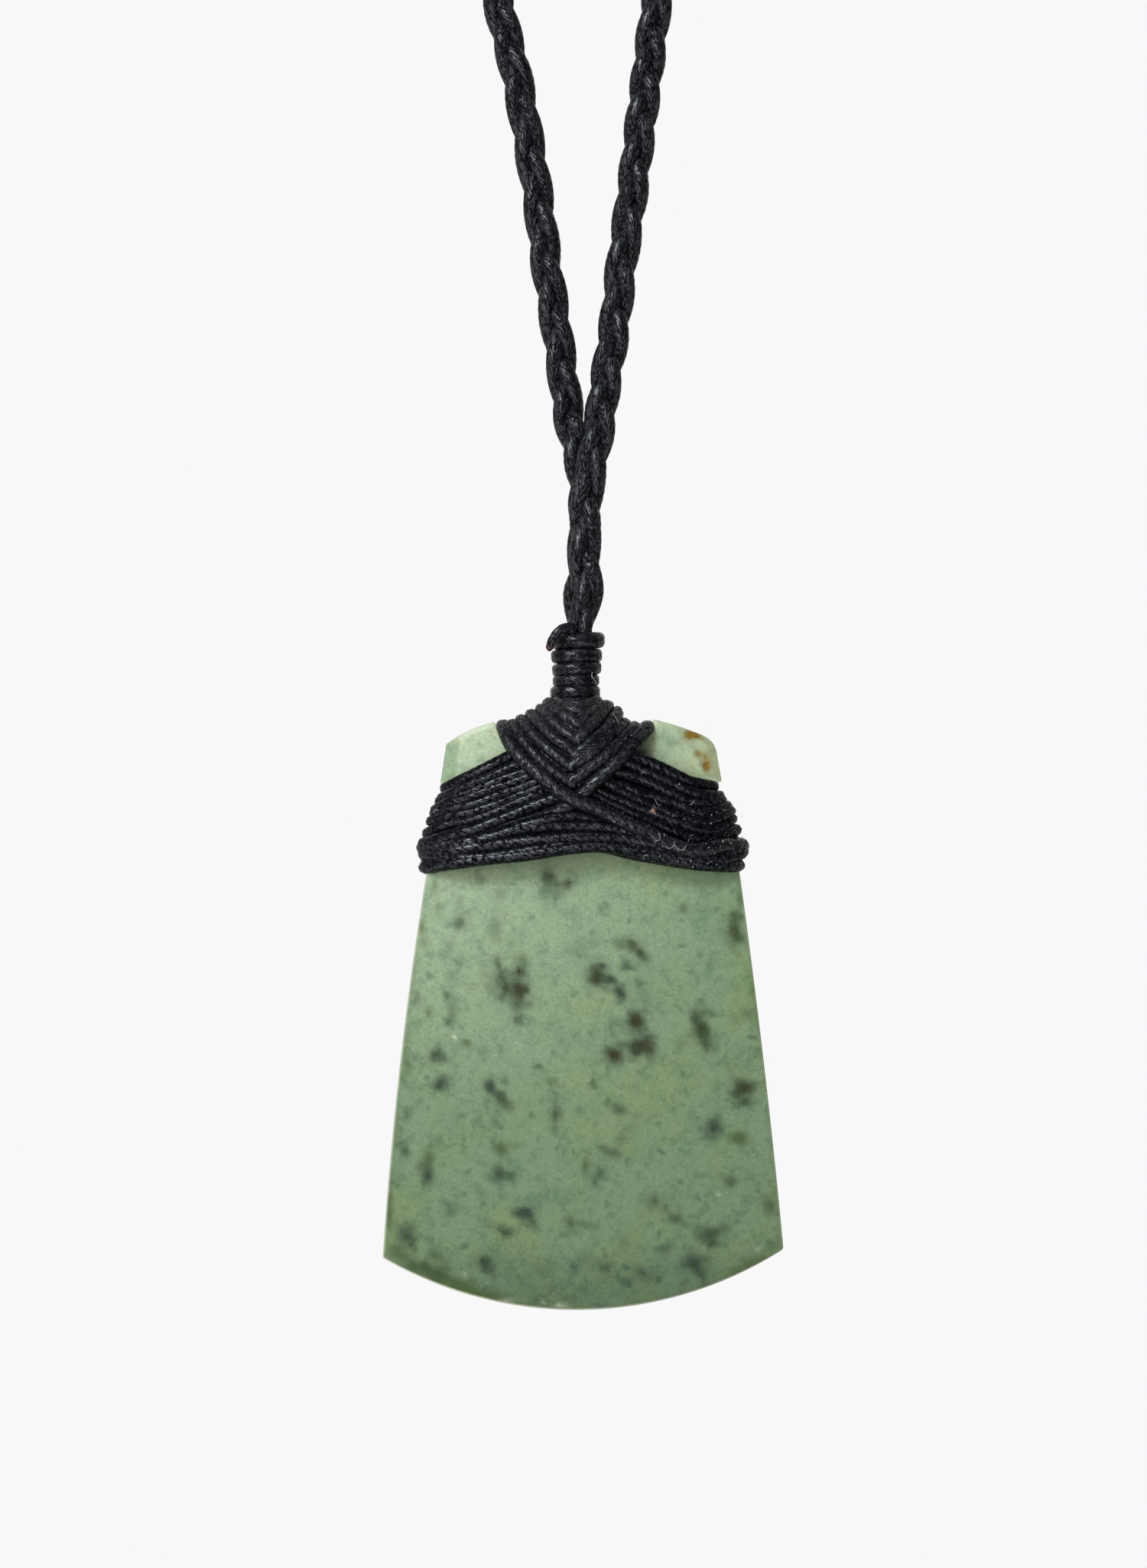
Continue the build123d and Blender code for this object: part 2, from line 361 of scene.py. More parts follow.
def newMaterial(name, **fixed):
    material = bpy.data.materials.new(name)
    material.use_nodes = True
    tree = material.node_tree
    shader = tree.nodes["Principled BSDF"]
    for socket, value in fixed.items():
        shader.inputs[socket.replace("_", " ")].default_value = value
    return material, Wire(tree), shader


def feed(shader, start, **wires):
    for socket, wire in wires.items():
        start.tree.links.new(wire.socket, shader.inputs[socket.replace("_", " ")])


lashingLook = {
    "black": (0.0014, 0.0014, 0.002),
    "wax": (0.009, 0.011, 0.017),
    "roughness": (0.36, 0.50),
    "specular": 0.04,
    "gloss": 0.32,
    "bump": 0.10,
    "paintedGrains": 1.0,                  # to each grain of the shape
    "streaks": (0.55, 0.55, 0.5, 0.68),    # what grains, fuzz and fibres count for, and where wax begins
    "dust": 0.0,
}
# the thread at the collar and the whipping is handled more: smoother, with soft sheens
collarLook = {
    "black": (0.002, 0.002, 0.0026),
    "wax": (0.015, 0.017, 0.022),
    "roughness": (0.40, 0.52),
    "specular": 0.10,
    "gloss": 0.31,
    "bump": 0.07,
    "paintedGrains": 0.7,
    "streaks": (0.4, 0.8, 0.4, 0.66),
    # how much pale dust and painted sheen lies on the turns over the head's top
    "dust": 0.35,
}
cordLook = {
    "black": (0.0026, 0.0026, 0.0033),
    "wax": (0.018, 0.019, 0.023),
    "roughness": (0.42, 0.56),
    "specular": 0.09,
    "gloss": 0.40,
    "bump": 0.10,
    "paintedGrains": 0.45,
    "streaks": (0.5, 0.6, 0.5, 0.66),
    "dust": 0.0,
}


threadFace = {
    # scale per millimetre, detail and roughness of the patterns that all threads share
    "stray": (1.6, 2, 0.6),
    "fuzz": (5.4, 3, 0.65),
    "patch": (0.42, 2, 0.5),
    "speck": (3.6, 3, 0.6),
    "wander": 0.9,                # how far grains stray from their row, in grains
    "plies": 5,                   # half waves of the fibres across a grain
    "relief": (0.9, 0.25, 0.5),   # of the grains, the fibres and the fuzz
    "patchSpan": (0.3, 0.7),      # where the roughness goes from its least to its most
    "waxEdge": 0.3,
    "waxSpecks": (0.38, 0.58),
    # pale dust, and a painted sheen, on the turns over the head's top: their colour, where they begin and
    # end, and their specks
    "dustAndSheenShade": (0.05, 0.049, 0.047),
    "dustAndSheenFrom": (-2.2, -0.2),     # up from the head's top, where the dust and painted sheen begin and are full
    "dustAndSheenTo": (0, 1.6),
    "dustAndSheenSpecks": (0.25, 0.7),
}


def threadMaterial(name, look):
    material, start, shader = newMaterial(
        name, Specular_IOR_Level=look["specular"], Coat_Roughness=look["gloss"])
    threadMap = start.node("ShaderNodeUVMap", {"uv_map": "threadMap"})
    around = threadMap.part(0) * braid["rows"]
    along = threadMap.part(1) * (look["paintedGrains"] / braid["grain"])
    across = around.math("FRACT") - 0.5
    side = 1 - 2 * around.math("FLOOR").math("FLOORED_MODULO", 2)
    place = start.millimetres()
    stray, fuzz, patch, speck = (place.noise(*threadFace[pattern])
                                 for pattern in ("stray", "fuzz", "patch", "speck"))
    lean = along + side * across * braid["shear"] + (stray * threadFace["wander"] - threadFace["wander"] / 2)
    length = lean.math("FRACT") - 0.5
    crown = (across * math.pi).math("COSINE").math("SQRT")
    middle = (length * math.pi).math("COSINE")
    yarn = crown * (middle * (1 - braid["crease"]) + braid["crease"])
    fibre = (lean * threadFace["plies"] * math.pi).math("SINE") * 0.5 + 0.5
    grainHeight, fibreHeight, fuzzHeight = threadFace["relief"]
    height = yarn * grainHeight + fibre * fibreHeight + fuzz * fuzzHeight
    grains, furred, fibres, cover = look["streaks"]
    waxed = (yarn * grains + fuzz * furred + fibre * fibres).between(cover, cover + threadFace["waxEdge"])
    waxed = waxed * speck.between(*threadFace["waxSpecks"])
    shade = start.colour(*look["black"]).mixed(start.colour(*look["wax"]), waxed)
    if look["dust"]:
        # pale dust in the wax, and a painted sheen, on the turns that run over the head's top
        up = place.part(2) - headTop
        dustAndSheen = up.between(*threadFace["dustAndSheenFrom"]) * (1 - up.between(*threadFace["dustAndSheenTo"]))
        dustSheenGrey = start.colour(*threadFace["dustAndSheenShade"])
        shade = shade.mixed(dustSheenGrey, dustAndSheen * speck.between(*threadFace["dustAndSheenSpecks"]) * look["dust"])
    low, high = look["roughness"]
    feed(shader, start, Base_Color=shade, Coat_Weight=waxed, Normal=height.bumped(1.0, look["bump"]),
         Roughness=patch.between(*threadFace["patchSpan"]) * (high - low) + low)
    return material


plainLook = {
    "roughness": 0.5,
    "patchSpan": (0.3, 0.6),
    # two colours, and the scale per millimetre of their patches
    "paleLint": ((0.3, 0.3, 0.28), (0.17, 0.17, 0.16), 9),
    "brownScrap": ((0.2, 0.125, 0.075), (0.11, 0.07, 0.045), 6),
    "meltedThread": ((0.018, 0.009, 0.007), (0.05, 0.011, 0.006), 2.5),
}


def plainMaterial(name):
    # two near colours in soft patches
    one, other, scale = plainLook[name]
    material, start, shader = newMaterial(name, Roughness=plainLook["roughness"])
    patches = start.millimetres().noise(scale).between(*plainLook["patchSpan"])
    feed(shader, start, Base_Color=start.colour(*one).mixed(start.colour(*other), patches))
    return material


stoneLook = {
    "ground": (0.158, 0.226, 0.124),
    "deep": (0.071, 0.111, 0.058),        # painted shade: darker toward the foot and the right
    "paintedSheen": (0.338, 0.403, 0.256),       # painted sheen: the lighter head and upper left
    # scale per millimetre, detail, roughness and distortion
    "patterns": {"cloud": (0.22, 3, 0.55, 0.4), "mottle": (0.8, 4, 0.65, 0.6),
                 "freckle": (2.1, 3, 0.6, 0.4), "grain": (4.2, 5, 0.78), "pores": (9.0, 2, 0.6)},
    # pattern, where its wash begins and is full, cover, and what it does to red, green and blue
    "washes": (("cloud", 0.4, 0.66, 1.1, (1.04, 0.99, 0.8)), ("mottle", 0.47, 0.7, 0.85, (0.66, 0.76, 0.76)),
               ("freckle", 0.52, 0.7, 0.8, (0.72,) * 3), ("grain", 0.49, 0.72, 0.6, (1.42,) * 3),
               ("grain", 0.51, 0.28, 0.6, (0.55,) * 3)),
    # fine pale scratches: slant in degrees, stretch, pattern, where they show, cover and colour
    "scratchSlant": -32,
    "scratchStretch": (0.7, 1, 9.0),
    "scratchPattern": (0.9, 3, 0.6),
    "scratchShown": (0.58, 0.75),
    "scratchCover": 0.2,
    "scratch": (0.48, 0.56, 0.42),
    # small green-black dots, in some of the cells of a warped pattern
    "dotWarp": 1.5,
    "dotCells": 0.85,
    "dotSize": (0.1, 0.34),
    "dotChosen": (0.35, 0.85),
    "dotCover": (0.3, 0.5),               # everywhere, and more toward the foot
    "dot": (0.03, 0.058, 0.036),
    # the charted marks: colour, the strength at which one is full, and its cover
    "marks": {"olive": ((0.036, 0.061, 0.013), 0.6, 0.88), "blue": ((0.012, 0.026, 0.013), 0.65, 0.92),
              "brown": ((0.019, 0.0205, 0.002), 0.88, 0.98), "rust": ((0.19, 0.098, 0.004), 0.68, 0.98)},
    "rustGrain": (0.105, 0.06, 0.004),
    "rustGrained": (0.4, 0.62),
    "torn": (0.5, 0.7),                   # how far the mottle and the grain tear the marks' rims
    "tornRim": 0.3,
    "tornShare": 0.7,
    # pale specks, painted highlights along the thin rims and a painted reflection at the left horn's top edge
    "paleAndHighlight": (0.62, 0.62, 0.47),
    "relief": (0.35, 0.35, 0.55),         # of the grain, the pores and the scratches
    "bump": (0.5, 0.03),                  # strength and height
    "roughness": (0.42, 0.52),
    "roughSpan": (0.3, 0.7),              # where the mottle takes it from its least to its most
    "specular": 0.2,
    "bending": 1.5,                       # of light that goes into the stone
    "inner": (0.06, 0.35, (1.0, 1.0, 0.8)),    # how much of it comes back, from how deep, in each colour
}


def stoneMaterial():
    returned, depth, inEachColour = stoneLook["inner"]
    material, start, shader = newMaterial(
        "paleNephrite", Subsurface_Weight=returned, Subsurface_Radius=inEachColour,
        Subsurface_Scale=depth * mm, IOR=stoneLook["bending"], Specular_IOR_Level=stoneLook["specular"])
    place = start.millimetres()
    patterns = {name: place.noise(*how) for name, how in stoneLook["patterns"].items()}
    mottle, grain = patterns["mottle"], patterns["grain"]

    def mark(label):
        return start.node("ShaderNodeAttribute", {"attribute_name": label}, None, 2)

    def look(name):
        return start.colour(*stoneLook[name])

    # the ground tone, with painted shade toward the foot and the right, and a painted sheen on the head and
    # the upper left
    base = look("ground").mixed(look("deep"), mark("deep")).mixed(look("paintedSheen"), mark("paintedSheen"))
    for name, low, high, cover, tint in stoneLook["washes"]:
        share = patterns[name].between(low, high)
        if name == "cloud":
            share = share * (1 - mark("scratched"))
        base = base.mixed(base.stretched(*tint), share * cover)

    slanted = place.node("ShaderNodeVectorRotate", {"rotation_type": "Y_AXIS"},
                         {"Vector": place, "Angle": math.radians(stoneLook["scratchSlant"])})
    scratch = slanted.stretched(*stoneLook["scratchStretch"]).noise(*stoneLook["scratchPattern"])
    shown = scratch.between(*stoneLook["scratchShown"]) * mark("scratched")
    base = base.mixed(look("scratch"), shown * stoneLook["scratchCover"])

    warp = place.noise(stoneLook["dotWarp"], out=1)
    warped = place.node("ShaderNodeVectorMath", {"operation": "ADD"}, {0: place, 1: warp})
    cells = {"Vector": warped, "Scale": stoneLook["dotCells"]}
    near = start.node("ShaderNodeTexVoronoi", None, cells).between(*stoneLook["dotSize"])
    chosen = start.node("ShaderNodeTexVoronoi", None, cells, 1).part(0).between(*stoneLook["dotChosen"])
    everywhere, atFoot = stoneLook["dotCover"]
    base = base.mixed(look("dot"), (1 - near) * chosen * (everywhere + mark("deep") * atFoot))

    byMottle, byGrain = stoneLook["torn"]
    torn = (mottle - 0.5) * byMottle + (grain - 0.5) * byGrain
    for name, (shade, reach, cover) in stoneLook["marks"].items():
        # the mark's strength, ragged where it fades out
        strength = mark(name)
        ragged = strength + torn * strength.between(0.0, stoneLook["tornRim"]) * stoneLook["tornShare"]
        tone = start.colour(*shade)
        if name == "rust":
            tone = tone.mixed(look("rustGrain"), grain.between(*stoneLook["rustGrained"]))
        base = base.mixed(tone, ragged.between(0.0, reach, "LINEAR") * cover)
    # pale specks, painted highlights along the thin rims and a painted reflection at the left horn's top edge
    base = base.mixed(look("paleAndHighlight"), mark("paleAndHighlight"))

    grains, pores, scratches = stoneLook["relief"]
    height = grain * grains + patterns["pores"] * pores + scratch * scratches * mark("scratched")
    low, high = stoneLook["roughness"]
    feed(shader, start, Base_Color=base, Normal=height.bumped(*stoneLook["bump"]),
         Roughness=mottle.between(*stoneLook["roughSpan"]) * (high - low) + low)
    return material


# Stage, lights and camera

room = {
    "clip": (0.01, 20),               # metres that the camera sees, from and to
    "backdrop": 0.94,                 # the room as the camera sees it
    "glow": (0.75, 0.16, 0.06),       # its light on the pendant: from behind, from above and all round
    "behind": -0.1,                   # the light from behind begins a little before the stone's plane
    "aim": 15,                        # under the head's top, where the lamps point
    # name, place from the aim, side of the square, power and colour
    "lamps": (("keySoftbox", (-250, -400, 170), 420, 2.64, (1, 1, 0.98)),
              ("glintLamp", (-200, -430, 280), 100, 1.5, (0.84, 0.94, 1.12)),
              ("lowFill", (40, -380, -180), 320, 0.9, (1, 1, 1))),
    "floorDrop": 90,                  # under the stone
    "floorRadius": 380,
    "floorRings": 6,
    "floorSpokes": 64,
    "floorTones": ((0.84, 0.84, 0.83), (0.8, 0.8, 0.79)),
    "floorPattern": (600, 3),         # scale per metre, and detail
    "floorRoughness": 0.7,
}


def hangCamera():
    camera = bpy.data.cameras.new("photoCamera")
    camera.lens, camera.sensor_width = photo["lens"], photo["sensor"]
    camera.clip_start, camera.clip_end = room["clip"]
    eye = addObject("photoCamera", camera)
    eye.location = Vector((eyeX, eyeY, eyeZ)) * mm
    eye.rotation_euler = (math.radians(90), 0, 0)
    bpy.context.scene.camera = eye


def lightRoom():
    world = bpy.data.worlds.new("paleRoom")
    world.use_nodes = True
    bpy.context.scene.world = world
    start = Wire(world.node_tree)
    background = world.node_tree.nodes["Background"]
    background.inputs["Strength"].default_value = 1
    way = start.node("ShaderNodeTexCoord")
    back, up, allRound = room["glow"]
    glow = way.part(1).between(room["behind"], 1) * back + way.part(2).between(0.0, 1) * up + allRound
    seen = start.node("ShaderNodeLightPath")
    level = seen * room["backdrop"] + (1 - seen) * glow
    feed(background, start, Color=start.node("ShaderNodeCombineColor", None, {0: level, 1: level, 2: level}))

    target = Vector((0, faceY, headTop - room["aim"])) * mm
    for name, offset, size, power, tint in room["lamps"]:
        lamp = bpy.data.lights.new(name, "AREA")
        lamp.shape, lamp.size, lamp.energy, lamp.color = "SQUARE", size * mm, power, tint
        hung = addObject(name, lamp)
        hung.location = target + Vector(offset) * mm
        hung.rotation_euler = (-Vector(offset)).to_track_quat("-Z", "Y").to_euler()


def layFloor():
    spokes = room["floorSpokes"]
    radii = np.linspace(0, 1, room["floorRings"])[1:] * room["floorRadius"]
    turn = np.arange(spokes) * 2 * math.pi / spokes
    points = [(0, 0, 0)] + [(r * math.cos(t), r * math.sin(t), 0) for r in radii for t in turn]
    faces = [(0, 1 + k, 1 + (k + 1) % spokes) for k in range(spokes)]
    for ring in range(len(radii) - 1):
        inner, outer = 1 + ring * spokes, 1 + (ring + 1) * spokes
        faces += [(inner + k, outer + k, outer + (k + 1) % spokes, inner + (k + 1) % spokes)
                  for k in range(spokes)]
    mesh = bpy.data.meshes.new("paleFloor")
    mesh.from_pydata([Vector(p) * mm for p in points], [], faces)
    floor = addObject("paleFloor", mesh)
    floor.location = Vector((0, 0, headTop - stone["height"] - room["floorDrop"])) * mm
    material, start, shader = newMaterial("floorPaint", Roughness=room["floorRoughness"])
    speckle = start.node("ShaderNodeTexCoord", None, None, 3).noise(*room["floorPattern"])
    light, dark = (start.colour(*tone) for tone in room["floorTones"])
    feed(shader, start, Base_Color=light.mixed(dark, speckle))
    mesh.materials.append(material)


def setStage():
    bpy.context.scene.view_settings.view_transform = "Standard"
    hangCamera()
    lightRoom()
    layFloor()
    print("stage set")


# The stone

# column and row of the corners and of a point on each arc between them
outline = {
    "headLeft": (583.6, 973), "lugLeft": (575.8, 1024.5), "rootLeft": (599, 1027),
    "seatLeft": (569, 1128), "shoulderLeft": (558.4, 1137), "sideLeft": (523.2, 1390),
    "footLeft": (500.3, 1644.5),
    "headRight": (934.4, 968), "lugRight": (943.8, 1021.5), "rootRight": (925, 1027),
    "seatRight": (955, 1128), "shoulderRight": (966.6, 1137), "sideRight": (999, 1390),
    "footRight": (1024.6, 1633),
    "footMiddle": (764, 1712.4),
    "hornLeft": (614, 954.8), "hornRight": (902, 954.5),
    "saddleLeft": (645.5, 944), "saddleRight": (855.5, 940.7),
    "wallLeft": (651, 951), "wallRight": (849.5, 950),
    "floorLeft": (664, 966), "floorRight": (840, 966), "floorMiddle": (753, 946),
}
edges = {
    "steps": (0, 0.05, 0.12, 0.2, 0.3, 0.45, 0.65, 0.9),    # rows and columns crowd at the rim
    "cell": 0.2,
    "sideCuts": (4, 14, 2),              # of the stretches from the lug to the shoulder
    "wallCuts": 6,
    "arcCuts": {"flank": 60, "horn": 40, "saddle": 41, "foot": 80},
    "columnMix": (0.93, 0.07),           # columns stand by x, and a little by the way along the top
    "topPull": (5.6, 1.4),               # how far down the top's shape is felt, and how it fades
    "footPull": (26, 1.6),
    "corners": (1.6, 0.3),               # radii of the head's right corner and the foot's
    # width and depth of what is ground off at each rim
    "leftFacet": (1.0, 0.42),
    "rightFacet": (0.5, 0.16),
    "leftBevel": (0.14, 0.12),
    "rightBevel": (0.08, 0.04),
    "topBevel": (0.26, 0.15),
    "footBevel": (0.14, 0.12),
    "mostGround": 0.45,                  # part of the half thickness
    "sideRings": 9,
}
# Each mark is its column, row, width, height, lean in degrees and strength
brownMarks = (
    (715, 1148, 10, 20, 0, .5), (742, 1154, 14, 13, 0, .8), (652, 1262, 8, 14, 10, .8),
    (680, 1271, 11, 17, 10, .95), (662, 1290, 13, 16, 0, .75), (679, 1298, 13, 22, 0, .95),
    (827, 1233, 11, 11, 0, .75), (838, 1247, 9, 27, 40, .7), (780, 1277, 14, 16, 0, 1.0),
    (831, 1335, 16, 18, 0, 1.0), (850, 1371, 15, 17, 0, .8), (837, 1366, 13, 11, 0, .85),
    (804, 1379, 17, 15, -20, .95), (918, 1347, 8, 22, 10, .42), (961, 1218, 10, 24, 8, .6),
    (546, 1304, 7, 13, 0, .35), (571, 1378, 11, 10, 0, .5), (658, 1439, 9, 17, 40, .45),
    (972, 1423, 17, 14, -30, .95), (974, 1439, 8, 11, 0, .75), (965, 1416, 9, 9, 0, .5),
    (705, 1398, 6, 8, 0, .3), (932, 1624, 11, 10, 0, .6), (1006, 1577, 11, 12, 0, .45),
    (925, 1366, 7, 13, -10, .35), (821, 1366, 10, 10, 0, .35), (893, 1186, 11, 8, 0, .12),
)
blueMarks = (
    (715, 1146, 17, 30, 0, .3), (729, 1167, 20, 17, 0, .28), (601, 1206, 16, 16, 0, .5),
    (601, 1180, 12, 12, 0, .2), (653, 1171, 12, 12, 0, .28), (586, 1238, 10, 18, -35, .3),
    (603, 1254, 13, 14, 0, .2), (650, 1208, 14, 20, 0, .27), (647, 1225, 14, 12, 0, .24),
    (679, 1314, 14, 26, 0, .35), (650, 1281, 15, 34, 10, .3), (668, 1292, 34, 34, 0, .3),
    (677, 1334, 11, 12, 30, .42), (591, 1276, 14, 13, 0, .22), (585, 1302, 9, 12, 0, .42),
    (592, 1322, 11, 18, 0, .3), (591, 1337, 10, 15, 0, .25), (572, 1379, 18, 16, 0, .38),
    (633, 1376, 13, 12, 0, .2), (757, 1238, 26, 22, 0, .16), (776, 1231, 14, 14, 0, .16),
    (717, 1268, 22, 16, 0, .12), (736, 1362, 20, 18, 0, .12), (787, 1186, 8, 14, 0, .35),
    (951, 1226, 11, 18, 0, .25), (819, 1263, 9, 14, 25, .4), (868, 1267, 9, 10, 0, .25),
    (799, 1280, 16, 13, -10, .75), (781, 1279, 20, 20, 0, .4), (812, 1299, 14, 16, 20, .68),
    (837, 1284, 15, 18, -30, .25), (842, 1302, 22, 22, 0, .18), (831, 1336, 24, 24, 0, .4),
    (801, 1352, 10, 17, 10, .42), (803, 1334, 10, 16, 0, .18), (840, 1368, 27, 19, 0, .52),
    (805, 1380, 23, 19, 0, .42), (909, 1331, 10, 14, 20, .4), (916, 1348, 21, 33, 12, .4),
    (924, 1369, 8, 12, 0, .4), (935, 1357, 12, 16, 0, .2), (889, 1368, 10, 12, 0, .26),
    (975, 1324, 14, 15, 20, .36), (962, 1332, 14, 12, 0, .2), (958, 1288, 17, 13, 0, .15),
    (929, 1232, 5, 28, -25, .14), (575, 1417, 16, 23, -18, .7), (640, 1421, 14, 19, 0, .68),
    (649, 1431, 12, 14, 40, .4), (658, 1413, 9, 8, 0, .36), (728, 1458, 11, 16, 0, .76),
    (758, 1452, 10, 9, 0, .36), (532, 1457, 10, 12, 0, .4), (546, 1441, 8, 12, 0, .2),
    (576, 1490, 9, 9, 0, .25), (654, 1470, 11, 11, 0, .2), (529, 1504, 11, 17, 15, .55),
    (559, 1536, 15, 23, 15, .68), (653, 1534, 19, 18, 0, .65), (667, 1536, 16, 13, 0, .35),
    (629, 1519, 9, 9, 0, .25), (707, 1541, 12, 12, 0, .16), (588, 1584, 15, 17, 0, .3),
    (634, 1595, 11, 11, 0, .25), (688, 1586, 17, 15, 0, .94), (697, 1599, 10, 13, 30, .5),
    (677, 1587, 10, 9, 0, .35), (661, 1612, 17, 12, 0, .7), (531, 1616, 18, 22, 15, .6),
    (564, 1622, 10, 10, 0, .22), (632, 1649, 13, 16, 10, .78), (639, 1661, 14, 14, 0, .35),
    (574, 1662, 22, 15, 0, .45), (540, 1652, 13, 13, 0, .4), (972, 1424, 24, 22, 0, .35),
    (812, 1452, 14, 13, 10, .6), (933, 1475, 18, 20, -10, .68), (938, 1461, 14, 12, 0, .25),
    (813, 1489, 14, 14, 0, .22), (802, 1508, 18, 13, -25, .5), (787, 1502, 11, 11, 0, .35),
    (785, 1536, 15, 17, -20, .48), (780, 1546, 8, 9, 0, .5), (823, 1475, 12, 12, 0, .2),
    (954, 1546, 12, 14, 20, .5), (980, 1536, 11, 11, 0, .22), (855, 1570, 17, 15, -20, .55),
    (869, 1578, 10, 9, 0, .3), (885, 1594, 14, 12, -15, .55), (895, 1601, 9, 8, 0, .35),
    (905, 1590, 6, 6, 0, .35), (947, 1605, 20, 10, 0, .4), (927, 1614, 24, 20, -20, .45),
    (817, 1626, 8, 10, 0, .35), (867, 1634, 15, 13, 0, .45), (907, 1651, 24, 22, 10, .65),
    (916, 1664, 13, 12, 0, .4), (791, 1659, 12, 14, 0, .5), (833, 1660, 13, 12, 0, .4),
    (845, 1670, 16, 14, -20, .4), (824, 1674, 8, 8, 0, .35), (860, 1656, 8, 10, 0, .35),
    (807, 1668, 10, 10, 0, .25), (763, 1646, 16, 12, 0, .18), (936, 1666, 10, 10, 0, .25),
    (897, 1675, 10, 10, 0, .22), (703, 1656, 17, 12, 0, .2), (755, 1664, 12, 12, 0, .18),
    (707, 1696, 8, 7, 0, .25), (882, 1492, 6, 7, 0, .25), (830, 1421, 10, 10, 0, .18),
)
oliveMarks = (
    (569, 1158, 6, 18, 0, .45), (625, 1148, 12, 9, 0, .22), (552, 1214, 7, 17, 0, .5),
    (573, 1188, 9, 20, 0, .25), (555, 1233, 9, 16, 0, .3), (681, 1256, 12, 16, 0, .35),
    (559, 1324, 8, 14, 20, .5), (548, 1337, 10, 12, 0, .3), (611, 1363, 9, 9, 0, .62),
    (707, 1395, 8, 8, 0, .4), (534, 1395, 12, 16, 0, .38), (714, 1185, 9, 12, 0, .2),
    (812, 1172, 4, 6, 0, .3), (893, 1186, 13, 10, 0, .38), (959, 1195, 14, 11, 0, .6),
    (961, 1218, 14, 27, 8, .75), (813, 1237, 17, 10, 0, .35), (967, 1171, 8, 22, 0, .35),
    (723, 1415, 8, 10, 0, .45), (710, 1440, 6, 6, 0, .3), (739, 1438, 9, 9, 0, .25),
    (693, 1456, 6, 6, 0, .5), (655, 1502, 14, 20, 0, .68), (672, 1498, 10, 9, 0, .3),
    (560, 1517, 12, 22, -8, .6), (764, 1525, 10, 17, -15, .6), (509, 1588, 10, 32, 0, .55),
    (509, 1566, 8, 18, 0, .35), (746, 1599, 12, 14, 20, .55), (762, 1601, 22, 9, 0, .42),
    (569, 1641, 16, 12, 0, .4), (560, 1661, 12, 11, 0, .4), (607, 1683, 26, 13, -12, .85),
    (520, 1638, 26, 20, -40, .55), (640, 1692, 30, 12, -8, .35), (774, 1420, 7, 7, 0, .5),
    (938, 1422, 9, 8, 0, .3), (966, 1486, 21, 14, -10, .72), (927, 1613, 20, 18, -20, .5),
    (981, 1651, 34, 11, 28, .5), (1010, 1630, 20, 12, 30, .35), (919, 1349, 14, 34, 12, .75),
    (1006, 1576, 16, 18, 0, .35), (570, 1666, 30, 20, -22, .6), (820, 1236, 22, 12, 0, .2),
    (655, 1440, 15, 20, 40, .3), (1014, 1500, 8, 120, 4, .25), (990, 1330, 8, 90, 8, .2),
    (532, 1360, 9, 70, -6, .25), (519, 1480, 9, 80, -6, .2), (541, 1270, 8, 60, -8, .22),
    (590, 1678, 40, 13, -20, .5), (545, 1655, 34, 16, -28, .4), (650, 1698, 40, 9, -8, .45),
)
rustMarks = (
    (899, 961, 12, 12, 0, .75), (907, 962, 12, 10, -10, .95), (917, 966, 13, 6, -25, .5),
    (911, 984, 5, 9, 0, .6), (914, 988, 8, 6, -30, .5), (922, 989, 6, 8, 0, .4),
    (922.5, 1002, 8, 10, 0, .95), (924, 1009, 7, 8, 0, .3), (926, 995, 13, 28, 0, .22),
    (933, 980, 8, 20, 0, .16), (936, 1005, 8, 24, 0, .16),
)
# pale specks, and short painted highlights at the rims and corners
paleMarks = (
    (594, 1355, 3, 6, 20, .45), (667, 1214, 3, 2, 0, .25), (697, 1326, 4, 2, 0, .25),
    (620, 1391, 2, 2, 0, .25), (940, 1561, 2, 3, 0, .35), (990, 1635, 2, 3, 0, .3),
    (733, 1707, 12, 4, 0, .35), (711, 1702, 4, 3, 0, .3), (855, 950, 4, 12, -25, .75),
    (662, 978, 3, 9, 30, .4), (931, 1020, 12, 2, -8, .5), (542, 1579, 3, 2, 0, .2),
    (607, 1667, 4, 4, 0, .25), (660, 1701, 24, 4, 8, .25),
)


def arcThrough(a, b, c, count):
    # points on the circle through a, b and c, from a to c
    a, b, c = (np.array(p, float) for p in (a, b, c))
    s, t = b - a, c - a
    turn = 2 * (s[0] * t[1] - s[1] * t[0])
    middle = a + np.array([t[1] * (s @ s) - s[1] * (t @ t), s[0] * (t @ t) - t[0] * (s @ s)]) / turn
    radius = math.hypot(*(a - middle))
    start = math.atan2(*(a - middle)[::-1])
    sweep = math.atan2(*(c - middle)[::-1]) - start
    sweep = (sweep + math.pi) % (2 * math.pi) - math.pi
    angles = start + sweep * np.linspace(0, 1, count)
    return middle + radius * np.column_stack([np.cos(angles), np.sin(angles)])


def crowdedPlaces(line, fromStart=True, fromEnd=True):
    # places along the line from 0 to 1, crowded at the ends that lie on the rim
    length = runAlong(line)[-1]
    rim = np.array(edges["steps"])
    first = rim if fromStart else rim[:1]
    last = length - (rim[::-1] if fromEnd else rim[:1])
    cells = max(2, int(round((last[0] - first[-1]) / edges["cell"])) + 1)
    return np.concatenate([first[:-1], np.linspace(first[-1], last[0], cells), last[1:]]) / length


def alongPolyline(points, places):
    points = np.asarray(points, float)
    run = runAlong(points)
    return pointsAt(np.asarray(places) * run[-1], run, points)


def distanceTo(line, points):
    # shortest distance of each point to a line of short pieces
    best = np.full(len(points), 1e9)
    for start, end in zip(line[:-1], line[1:]):
        way = end - start
        t = np.clip(((points - start) @ way) / max(way @ way, 1e-12), 0, 1)
        best = np.minimum(best, np.hypot(*(points - start - t[:, None] * way).T))
    return best


